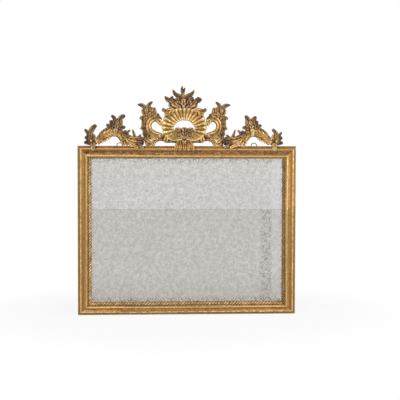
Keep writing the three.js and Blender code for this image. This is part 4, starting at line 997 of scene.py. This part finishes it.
BASE_SCROLL = [
    lobe((4.2, 3.4, 1.6), (6.2, 3.7, 1.8), (8.6, 3.9, 2), (10.8, 3.7, 2.1), (12.2, 3.2, 2.1),
         half=[1.8, 1.9, 1.9, 1.9, 1.5], form="reed", flat_back=True),
    lobe((11.2, 8.6, 2.2), (11.6, 6.6, 2.8), (12, 4.2, 3.1), (12.2, 1.8, 2.9), half=[0.9, 2.0, 1.8, 0.5], lobes=2,
         vein=0.6, back=2, crown=1.2),
    lobe((11.8, 3.9, 1.8), (13.8, 4.8, 1.9), (16.2, 5.0, 1.9), (18.4, 4.2, 1.8), (19.9, 2.4, 1.7), (20.8, 0, 1.6),
         half=[1.5, 1.8, 1.9, 1.8, 1.4, 1.2], form="reed", flat_back=True),
    lobe((13.4, 6.6, 2.2), (15, 7, 2.4), (17, 6.4, 2.4), half=[0.9, 1, 0.4], back=1.6),
]

INNER_SCROLL = [
    lobe((15.4, 15.4, 1.8), (16.4, 17.5, 1.9), (19.2, 18.1, 2), (21.9, 16.9, 2.1), (23.4, 14.4, 2.1),
         (23.5, 11.8, 2.1), (22.3, 9.2, 2), (19.8, 7.6, 1.9), (17, 6.9, 1.8), (14, 6.6, 1.6),
         half=[0.9, 1.9, 2.3, 2.3, 2.2, 2.2, 2.4, 2.5, 2.2, 1.5], crown=1.3, form="reed", flat_back=True),
    lobe((25.2, 6.6, 1.4), (26.3, 10.2, 1.7), (26.7, 14, 1.8), (26.4, 18, 1.9), (25.6, 21, 2),
         half=[1, 1.5, 1.7, 1.8, 1.2], crown=0.9, lobes=5, back=1.4),
    lobe((23.6, 14.4, 1.8), (23.7, 17.4, 2), (23, 20.4, 2.2), half=[2.3, 3.5, 3.4], crown=0.9, lobes=2,
         flat_back=True),
    leaf((25.8, 17.6, 2.2), (27.4, 18.6, 2.5), (29.2, 18, 2.9), half=[1.4, 1.3, 0.8]),
    bud(28.7, 18.1, 3.0, 0.95),
    leaf((26.2, 13.4, 2), (27.6, 12.2, 2.2), (29, 10.8, 2.6), half=[1.1, 0.9, 0.45]),
    leaf((25.4, 9.6, 1.8), (26.6, 8.2, 2), (26.9, 6.6, 2.3), half=[1.3, 1.1, 0.5]),
    lobe((19.4, 18.6, 2.4), (17.2, 17, 2.8), (15.6, 15, 2.9), (14.9, 13.2, 2.8), half=[1.4, 2.1, 1.7, 0.8], lobes=3,
         back=1.8),
    leaf((18.6, 18.4, 2.2), (17.5, 19.8, 2.5), (17, 21.2, 2.8), half=[1.6, 1.3, 0.6], lobes=1, back=1.4),
    lobe((20.6, 18.6, 2.3), (20, 20.2, 2.6), (18.6, 20.6, 2.9), half=[1.2, 1.1, 0.5], back=1.4),
    # foot
    lobe((24.2, 9, 1.9), (24.9, 6.2, 2.1), (23.8, 3.8, 2.4), (21, 2.2, 2.6), half=[1.8, 2.3, 2, 0.7], lobes=3,
         crown=1.1, back=2.0),
    lobe((24.6, 6.2, 1.6), (24, 2.8, 1.8), (22.6, 0, 1.9), half=[1.8, 2.3, 1.8], crown=0.9, lobes=2, flat_back=True),
    lobe((22.4, 6.2, 2.2), (19.6, 5, 2.5), (17.2, 4.6, 2.6), half=[1.2, 1.3, 0.5], back=1.8),
]

INNER_FLOWER = [
    lobe((22.9, 19.6, 2.8), (23, 22, 2.8), (23.4, 25, 2.6), half=[3, 4.1, 2.8], form="plain", back=2.2),
    leaf((24.2, 21.4, 3), (25.4, 24.2, 3.2), (27.6, 26.3, 3.6), (30.8, 27, 4), half=[1.8, 2.0, 1.5, 0.5], crown=1.1,
         lobes=2),
    leaf((23.2, 22.4, 3.2), (23.8, 25.2, 3.4), (22.8, 27.2, 3.7), (20.8, 28.9, 4), half=[1.6, 1.7, 1.3, 0.5],
         crown=1.1),
    lobe((21.6, 20.6, 3), (19.9, 22.6, 3.2), (19.6, 25.1, 3.4), half=[1.4, 1.7, 0.7], lobes=2, crown=1.1),
    lobe((22, 20.2, 3.2), (21.4, 22.6, 3.6), (21.6, 25.4, 3.8), half=[1.3, 1.5, 0.8], lobes=2),
    lobe((24, 20, 3.2), (24.8, 22.4, 3.6), (25.2, 24.6, 3.6), half=[1.3, 1.5, 0.8], lobes=2),
    lobe((25.2, 20, 2.6), (26.8, 21.8, 2.9), (27.4, 24, 3.1), half=[1.4, 1.5, 0.7], lobes=2),
    lobe((20.4, 19.6, 2.6), (19, 20.6, 2.8), (18.3, 22.4, 3.1), half=[1.3, 1.3, 0.5]),
    lobe((23.4, 18.6, 2.6), (22.6, 20.4, 3.6), (22.4, 22.2, 4.0), half=[0.9, 1.2, 0.6], lobes=1),
]

OUTER_SCROLL = [
    lobe((57.6, 1.2, 1.4), (55.8, 4, 1.7), (53, 6.8, 2), (49.6, 8.5, 2.1), (46.2, 8.9, 2.2), (43, 8, 2.2),
         (40.2, 6, 2.1), (37.4, 4.4, 2), (34.2, 3.4, 2), (30.4, 2.9, 1.9), (26.4, 2.6, 1.7),
         half=[1.4, 2.8, 3.1, 3.2, 3.0, 3.0, 3.3, 3.3, 3.0, 2.7, 2], crown=1.9, form="feather", lobes=15, cut=0.22,
         flat_back=True),
    # leafy outer edge with its small lobes
    lobe((41.6, 10.3, 2.0), (45.4, 11.8, 2.2), (49.4, 11.5, 2.2), (53, 9.8, 2.1), (56.4, 6.2, 1.8),
         half=[0.8, 1.0, 1.1, 1.1, 0.7], lobes=9, cut=0.6, crown=0.9, back=1.2),
    *[leaf((u - 1.2, v - 1.3, 2.0), (u, v, 2.4), (u + 0.6, v + 0.8, 2.7), half=[0.9, 0.7, 0.35], tip=SMALL_TIP)
      for u, v in ((57.0, 5.4), (55.2, 7.9), (53.8, 9.2), (52.2, 10.4), (50.4, 11.4))],
    *[lobe((u, v + 1.4, 2.0), (u + 0.2, v + 0.4, 2.2), (u - 0.1, v - 0.6, 2.4), half=[0.9, 0.75, 0.35])
      for u, v in ((53.9, 2.2), (52.2, 2.9), (50.7, 3.8), (49.3, 4.6))],
    # spikes and curled leaf over the inner slope
    leaf((38.8, 6.8, 2.4), (37.5, 8.6, 2.7), (36.4, 10.1, 3.0), (35.6, 9.4, 3.1), half=[1.4, 1.0, 0.6, 0.3]),
    leaf((40.2, 8.0, 2.4), (39.2, 9.4, 2.7), (38.4, 10.2, 3), half=[1.2, 1, 0.5]),
    leaf((32.2, 4.6, 2.3), (33.2, 7.6, 2.7), (34.2, 10.8, 3.2), half=[1.5, 0.95, 0.4]),
    leaf((30.2, 4.8, 2.2), (29.4, 6.4, 2.4), (28.2, 7.4, 2.6), half=[1.2, 0.9, 0.4]),
    # acanthus over the lower slope, lapping on the rail
    leaf((41, 7.4, 2.9), (38, 5.6, 3.3), (34.6, 4.6, 3.3), (30.6, 4.6, 3.1), (27, 5.4, 2.8),
         half=[1.2, 1.9, 2.0, 1.6, 0.6], lobes=5, back=1.4),
    leaf((39.6, 5.6, 3.0), (36.4, 3.2, 3.6), (32.4, 2.0, 3.8), (28, 2.2, 3.2), half=[1.3, 1.9, 1.9, 0.8], lobes=5,
         crown=1.1, back=1.6),
    lobe((38, 3.2, 2.8), (34.4, 0.7, 4.2), (30.4, -1.3, 5.1), half=[1.5, 1.7, 0.6], lobes=3, back=1.8),
    lobe((33, 2.0, 3), (29.8, 0.2, 4.2), (26.6, -0.9, 4.8), half=[1.4, 1.4, 0.5], lobes=2, back=1.8),
    # foot of the arch
    lobe((43.4, 6.4, 2), (41.3, 3.8, 2.1), (40.2, 0.2, 2.1), half=[1.5, 1.6, 1.1], crown=0.9, form="feather", lobes=4,
         cut=0.3, flat_back=True),
    lobe((39.6, 2.6, 2.4), (38.6, 1.2, 2.6), (37.4, 0.2, 2.6), half=[1.0, 0.9, 0.4]),
]

ARCH_SPRAY = [
    lobe((45.2, 9.2, 3.0), (44.8, 12.6, 2.6), (43.9, 17, 2.4), half=[2.8, 3.9, 2.4], form="plain", back=2),
    lobe((45.4, 9.4, 3.4), (44.8, 12.8, 3.6), (44, 16.6, 3.4), half=[1.2, 1.7, 1.1], lobes=3, crown=1.2),
    lobe((43.6, 11, 3.1), (42.2, 14, 3.3), (41.4, 16.8, 3.3), half=[1.2, 1.5, 0.9], lobes=3, crown=1.1),
    lobe((46.8, 11, 3.1), (46.8, 13.6, 3.3), (45.8, 16.4, 3.3), half=[1.2, 1.5, 0.9], lobes=3, crown=1.1),
    leaf((46, 13.4, 2.8), (47.8, 15.2, 3), (49.4, 16.2, 3.4), half=[1.8, 1.6, 0.7], lobes=1),
    leaf((46, 11.6, 2.8), (49, 12.9, 3), (51.6, 13.6, 3.5), half=[1.6, 1.5, 0.7], lobes=2),
    leaf((43, 11.4, 2.8), (40.8, 12, 3), (38.8, 12.1, 3.5), half=[1.6, 1.4, 0.7], lobes=1),
    lobe((45.4, 11.4, 4.0), (45.6, 8.6, 4.3), (45.6, 6.2, 4.4), half=[1.5, 1.4, 0.5], lobes=2, back=1.2),
    bud(44.8, 10.4, 4.4, 0.9),
]
SPRAY_TIPS = {
    "left": [
        leaf((43.6, 15.4, 2.9), (42.4, 17.9, 3.1), (41, 19, 3.5), (39, 19.7, 4), half=[1.5, 1.7, 1.6, 1.0]),
        leaf((44.8, 15, 2.9), (46, 17.6, 3.1), (47.1, 19, 3.5), (48.3, 19.7, 4), half=[1.5, 1.4, 1.2, 0.6]),
    ],
    "right": [
        leaf((43.2, 14.8, 2.9), (42.6, 17.2, 3.1), (41.6, 18.8, 3.5), (40.6, 20, 4), half=[1.7, 1.9, 1.4, 0.9]),
        leaf((44.8, 14.6, 2.9), (45.9, 16.8, 3.1), (46.9, 18.2, 3.5), (47.8, 19.6, 4), half=[1.6, 1.7, 1.5, 0.9]),
    ],
}

END_TIPS = {
    "left": [
        leaf((61.8, 3.6, 2.6), (61.8, 8, 2.9), (60.4, 11.2, 3.4), (57.9, 13.6, 4), half=[1.6, 1.8, 1.9, 1.0]),
        leaf((62.2, 5.4, 2.4), (63.6, 8.4, 2.7), (65.6, 10.8, 3.3), half=[1.6, 1.3, 0.7]),
    ],
    "right": [
        leaf((61.6, 3.4, 2.6), (61.8, 6.8, 2.9), (60.6, 9.2, 3.4), (58.6, 11.2, 4), half=[1.6, 1.6, 1.4, 0.9]),
        leaf((62.2, 4.6, 2.4), (63.6, 7, 2.7), (65, 9.4, 3.3), half=[1.5, 1.1, 0.5]),
    ],
}
END_SPRAY = [
    lobe((59.4, 0, 2), (61, 3, 2.2), (62, 5.6, 2.3), (62.6, 7.6, 2.2), half=[2.2, 3.2, 2.8, 1.4], lobes=3,
         flat_back=True),
    lobe((60.4, 0.4, 2.8), (62, 2.8, 3.1), (62.6, 6, 3), half=[1.2, 1.5, 0.8], lobes=3, crown=1.1),
    leaf((61.8, 3.8, 2.4), (64.2, 5.2, 2.6), (65.6, 5.2, 3), half=[1.3, 1.3, 0.7], lobes=1),
    leaf((61.4, 1.4, 2.2), (64.2, 2.1, 2.4), (66, 2, 2.9), half=[1.4, 1.4, 0.8], lobes=1),
    lobe((60.4, 2.2, 3.2), (60.2, -0.8, 5), (59.8, -3, 5.1), half=[1.9, 1.9, 0.7], lobes=2, back=1.6),
    lobe((58.8, 4.4, 2.2), (59.4, 6.4, 2.5), (59.2, 7.8, 2.8), half=[1.2, 1, 0.5]),
    bud(61.4, 3.2, 4.1, 0.9),
]


class OVERMANTEL_OT_shell(bpy.types.Operator):
    """Carves the pierced shell with its knop and the leaf drop that laps over the rail"""

    bl_idname = "overmantel.shell"
    bl_label = "Shell, Knop and Drop"

    def execute(self, context):
        carve("shell", SHELL, gilding("gilt_shell", grime_and_shade=0.0, olive=0.6, red=0.15))
        carve("shell_knop", KNOP, gilding("gilt_knop", grime_and_shade=0.8, red=0.4, fade=0.4))
        carve("shell_drop", DROP, gilding("gilt_drop", grime_and_shade=1.0, red=0.6, olive=0.6))
        return {"FINISHED"}


class OVERMANTEL_OT_finial(bpy.types.Operator):
    """Carves the leaf spray on top of the shell"""

    bl_idname = "overmantel.finial"
    bl_label = "Finial Spray"

    def execute(self, context):
        carve("finial_spray", FINIAL, gilding("gilt_finial", grime_and_shade=0.35, red=0.3, fade=0.45))
        return {"FINISHED"}


class OVERMANTEL_OT_scrolls(bpy.types.Operator):
    """Carves the base, inner and outer scrolls of both halves"""

    bl_idname = "overmantel.scrolls"
    bl_label = "Scrolls"

    def execute(self, context):
        for name, side in SIDES:
            for piece, specs, grime_and_shade in (
                ("base", BASE_SCROLL, 0.5), ("inner", INNER_SCROLL, 0.12), ("outer", OUTER_SCROLL, 0.25),
            ):
                material = gilding(f"gilt_{piece}_scroll", grime_and_shade=grime_and_shade, red=0.2 + grime_and_shade, olive=0.45)
                carve(f"{piece}_scroll_{name}", specs, material, side)
        return {"FINISHED"}


# both halves' sprays are toned; the left half's are darker and duller, as painted shade
SPRAY_TONE_AND_SHADE = {"left": dict(grime_and_shade=0.35, fade=0.55), "right": dict(grime_and_shade=0.1, fade=0.25)}


class OVERMANTEL_OT_sprays(bpy.types.Operator):
    """Carves the flower heads, the sprays on the arches and the sprays at the ends"""

    bl_idname = "overmantel.sprays"
    bl_label = "Flowers and Sprays"

    def execute(self, context):
        for name, side in SIDES:
            carve(f"inner_flower_{name}", INNER_FLOWER, gilding("gilt_flower", grime_and_shade=0.45, red=0.45, fade=0.4), side)
            # the left half's spray gilding is toned darker as painted shade
            worn = gilding(f"gilt_spray_{name}", red=0.3, **SPRAY_TONE_AND_SHADE[name])
            carve(f"arch_spray_{name}", ARCH_SPRAY + SPRAY_TIPS[name], worn, side)
            carve(f"end_spray_{name}", END_SPRAY + END_TIPS[name], worn, side)
        return {"FINISHED"}


# ---- glass and back -----------------------------------------------------------------------------
class OVERMANTEL_OT_plates(bpy.types.Operator):
    """Dresses the two mirror plates"""

    bl_idname = "overmantel.plates"
    bl_label = "Mirror Plates"

    def execute(self, context):
        glass = settings().glass
        for name, tint in (("upper", glass.upper), ("lower", glass.lower)):
            material = silvering(f"silvering_{name}", tuple(tint), name == "lower")
            eased_copy(f"mirror_plate_{name}", material, glass.arris)
        return {"FINISHED"}


class OVERMANTEL_OT_back(bpy.types.Operator):
    """Dresses the pine behind the gilding: frame, boards, blocks, batten and braces"""

    bl_idname = "overmantel.back"
    bl_label = "Pine Back"

    def execute(self, context):
        arris = settings().back.arris
        level = sawn_pine("pine_level", "x", 0.12)
        upright = sawn_pine("pine_upright", "z", 0.12)
        boards = sawn_pine("pine_boards", "x", 0.0)
        for name in ("top", "bottom"):
            eased_copy(f"back_rail_{name}", level, arris)
        for name, _side in SIDES:
            eased_copy(f"back_stile_{name}", upright, arris)
        eased_copy("seam_batten", boards, arris)
        for i in range(4):
            eased_copy(f"backboard_{i + 1}", boards, 2.5 * arris)
        for side in FRAME_SIDES:
            for i in (1, 2):
                grain = boards if side in ("top", "bottom") else upright
                eased_copy(f"glass_block_{side}_{i}", grain, arris)
        for name in ("centre", "left", "right"):
            eased_copy(f"crest_brace_{name}", upright, arris)
        return {"FINISHED"}


# ---- fasteners and hanging hardware -------------------------------------------------------------
# Radius and height of a screw's outline in mm: its point from its end, its head from where it sits.
SCREW_POINT = ((0, 0), (1.0, 0.4), (2.0, 3))
HEAD = 2
SCREW_HEAD = ((2.0, 0), (4.0, 0), (3.9, 0.5), (3.2, 1.3), (1.8, HEAD - 0.15), (0, HEAD))
SLOT_ACROSS, SLOT_HALF, SLOT_FLOOR = (0.25, 0, 1), 0.5 * MM, 0.8 * MM


def turned_screw(node, material):
    """A round-head screw with a slot, spun about its axis where the CAD screw is."""
    low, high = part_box(node)
    x, z = (low.x + high.x) / 2, (low.z + high.z) / 2
    seat = high.y - HEAD * MM
    bm = bmesh.new()
    profile = [(r, y + d * MM) for y, part in ((low.y, SCREW_POINT), (seat, SCREW_HEAD)) for r, d in part]
    verts = [bm.verts.new((x + r * MM, y, z)) for r, y in profile]
    edges = [bm.edges.new(pair) for pair in zip(verts, verts[1:])]
    bmesh.ops.spin(
        bm, geom=verts + edges, cent=(x, 0, z), axis=(0, 1, 0), angle=math.tau, steps=20, use_merge=True,
    )
    bmesh.ops.remove_doubles(bm, verts=bm.verts, dist=MERGE)
    for offset in (SLOT_HALF, -SLOT_HALF):
        geom = [*bm.verts, *bm.edges, *bm.faces]
        bmesh.ops.bisect_plane(bm, geom=geom, dist=1e-7, plane_co=(x, 0, z + offset), plane_no=SLOT_ACROSS)
    across = Vector(SLOT_ACROSS).normalized()
    for vert in bm.verts:
        off = abs((vert.co - Vector((x, vert.co.y, z))).dot(across))
        if vert.co.y > seat + 0.9 * MM and off < 0.3 * MM:
            vert.co.y = seat + SLOT_FLOOR
    finish_piece(node + "_turned", bm, material, "frame", [node], smooth=False)


class OVERMANTEL_OT_screws(bpy.types.Operator):
    """Turns the screws of the braces and straps"""

    bl_idname = "overmantel.screws"
    bl_label = "Screws"

    def execute(self, context):
        material = dull_steel()
        for brace in ("centre", "left", "right"):
            for part in ("rail", "crest"):
                turned_screw(f"brace_screw_{brace}_{part}", material)
        for name, _side in SIDES:
            for i in (1, 2):
                turned_screw(f"strap_screw_{name}_{i}", material)
        return {"FINISHED"}


class OVERMANTEL_OT_hanging(bpy.types.Operator):
    """Makes the hanging straps and their rings"""

    bl_idname = "overmantel.hanging"
    bl_label = "Hanging Straps and Rings"

    def execute(self, context):
        iron = blackened_iron()
        for name, _side in SIDES:
            eased_copy(f"hanging_strap_{name}", iron, 0.5 * MM)
            low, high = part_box(f"hanging_ring_{name}")
            middle = (low + high) / 2
            wire = (high.y - low.y) / 2 / math.cos(math.pi / 6)  # the CAD wire has six sides and stands on two corners
            radius = (high.z - low.z) / 2 - wire
            bm = bmesh.new()
            turn = Matrix.Translation(middle + Vector((radius, 0, 0)))
            bmesh.ops.create_circle(bm, cap_ends=False, radius=wire, segments=14, matrix=turn)
            bmesh.ops.spin(
                bm, geom=[*bm.verts, *bm.edges], cent=middle, axis=(0, 1, 0), angle=math.tau, steps=48, use_merge=True,
            )
            bmesh.ops.remove_doubles(bm, verts=bm.verts, dist=MERGE)
            ring = f"hanging_ring_{name}"
            finish_piece(ring + "_forged", bm, iron, f"ring_{name}", [ring])
        return {"FINISHED"}


# ---- stage --------------------------------------------------------------------------------------
def seen_directly(add):
    """1 for what the camera sees, also in the glass, and 0 for what the light of the scene meets."""
    rays = add("LightPath").node.outputs
    seen = rays["Is Camera Ray"]
    for kind in ("Is Glossy Ray", "Is Transmission Ray"):
        seen = add("Math", seen, rays[kind], operation="MAXIMUM")
    return seen


class OVERMANTEL_OT_stage(bpy.types.Operator):
    """Sets the floor, the light and the camera"""

    bl_idname = "overmantel.stage"
    bl_label = "Stage"

    def execute(self, context):
        values = settings().stage
        scene = context.scene
        bm = bmesh.new()
        bmesh.ops.create_grid(bm, x_segments=1, y_segments=1, size=12)  # reaches 12 m each way
        bmesh.ops.translate(bm, verts=bm.verts, vec=(0, 0, -0.5 * MM))  # just under the frame, so that they don't clash
        mesh = bpy.data.meshes.new("floor")
        bm.to_mesh(mesh)
        bm.free()
        floor = bpy.data.objects.new("floor", mesh)
        scene.collection.objects.link(floor)
        material = bpy.data.materials.new("studio_floor")
        material.use_nodes = True
        material.node_tree.nodes.clear()
        add = partial(add_node, material.node_tree)
        # white painted floor: it keeps the soft shadow near the frame and turns into the white backdrop further out
        from_frame = add("VectorMath", add("TexCoord", out="Object"), operation="LENGTH", out="Value")
        white_share = add("MapRange", from_frame, 0.6, 1.8, 0.85, 1, **SMOOTH)
        white_share = add("Math", seen_directly(add), white_share, operation="MULTIPLY")
        paint, glow = add("BsdfDiffuse", rgb("F4F4F4")), add("Emission", WHITE, 1)
        add("OutputMaterial", add("MixShader", white_share, paint, glow))
        mesh.materials.append(material)

        world = bpy.data.worlds.new("studio")
        scene.world = world
        world.use_nodes = True
        world.node_tree.nodes.clear()
        add = partial(add_node, world.node_tree)
        soft, white = (add("Background", WHITE, strength) for strength in (values.sky, 1))
        add("OutputWorld", add("MixShader", seen_directly(add), soft, white))

        target = Vector((0, 0, 0.75))  # the middle of the mirror with its crest
        for name, spot, size, power in (
            ("key", Vector((3.0, -2.8, 2.2)), 1.3, values.key),
            ("fill", Vector((-2.9, -3.0, 2.4)), 1.5, values.fill),
        ):
            lamp = bpy.data.lights.new(name, "AREA")
            lamp.shape = "DISK"
            lamp.size = size
            lamp.energy = power
            holder = bpy.data.objects.new(name, lamp)
            holder.location = spot
            holder.rotation_mode = "QUATERNION"
            holder.rotation_quaternion = (target - spot).to_track_quat("-Z", "Y")
            scene.collection.objects.link(holder)

        camera = bpy.data.cameras.new("camera")
        camera.sensor_width = 36
        camera.lens = values.lens
        camera.clip_end = 100
        eye = bpy.data.objects.new("camera", camera)
        a, e = values.azimuth, values.elevation
        back = Vector((math.sin(a) * math.cos(e), -math.cos(a) * math.cos(e), math.sin(e)))
        right = Vector((math.cos(a), math.sin(a), 0))
        up = back.cross(right)
        basis = Matrix((right, up, back)).transposed()
        aim = Matrix.Rotation(-values.yaw, 3, "Y") @ Matrix.Rotation(values.pitch, 3, "X")
        aim = aim @ Matrix.Rotation(-values.roll, 3, "Z")
        eye.matrix_world = Matrix.Translation(target + back * values.distance) @ (basis @ aim).to_4x4()
        scene.collection.objects.link(eye)
        scene.camera = eye
        scene.view_settings.view_transform = "Standard"
        return {"FINISHED"}


STEPS = (
    OVERMANTEL_OT_stage,
    OVERMANTEL_OT_back,
    OVERMANTEL_OT_mouldings,
    OVERMANTEL_OT_rope_slip,
    OVERMANTEL_OT_plates,
    OVERMANTEL_OT_shell,
    OVERMANTEL_OT_finial,
    OVERMANTEL_OT_scrolls,
    OVERMANTEL_OT_sprays,
    OVERMANTEL_OT_screws,
    OVERMANTEL_OT_hanging,
)


class OVERMANTEL_PT_panel(bpy.types.Panel):
    """Lists the settings and the steps that make the mirror"""

    bl_idname = "OVERMANTEL_PT_panel"
    bl_label = "Overmantel Mirror"
    bl_space_type = "VIEW_3D"
    bl_region_type = "UI"
    bl_category = "Mirror"

    def draw(self, context):
        layout = self.layout
        values = context.scene.overmantel
        for group in ("gilding", "moulding", "carving", "glass", "back", "hanging", "stage"):
            box = layout.box()
            part = getattr(values, group)
            for name in part.__annotations__:
                box.prop(part, name)
        for step in STEPS:
            layout.operator(step.bl_idname)


CLASSES = (
    GildingSettings,
    MouldingSettings,
    CarvingSettings,
    GlassSettings,
    BackSettings,
    HangingSettings,
    StageSettings,
    MirrorSettings,
    *STEPS,
    OVERMANTEL_PT_panel,
)


def register():
    for cls in CLASSES:
        bpy.utils.register_class(cls)
    bpy.types.Scene.overmantel = PointerProperty(type=MirrorSettings)


def unregister():
    del bpy.types.Scene.overmantel
    for cls in reversed(CLASSES):
        bpy.utils.unregister_class(cls)


def main():
    register()
    for step in STEPS:
        group, name = step.bl_idname.split(".")
        getattr(getattr(bpy.ops, group), name)()


if __name__ == "__main__":
    main()
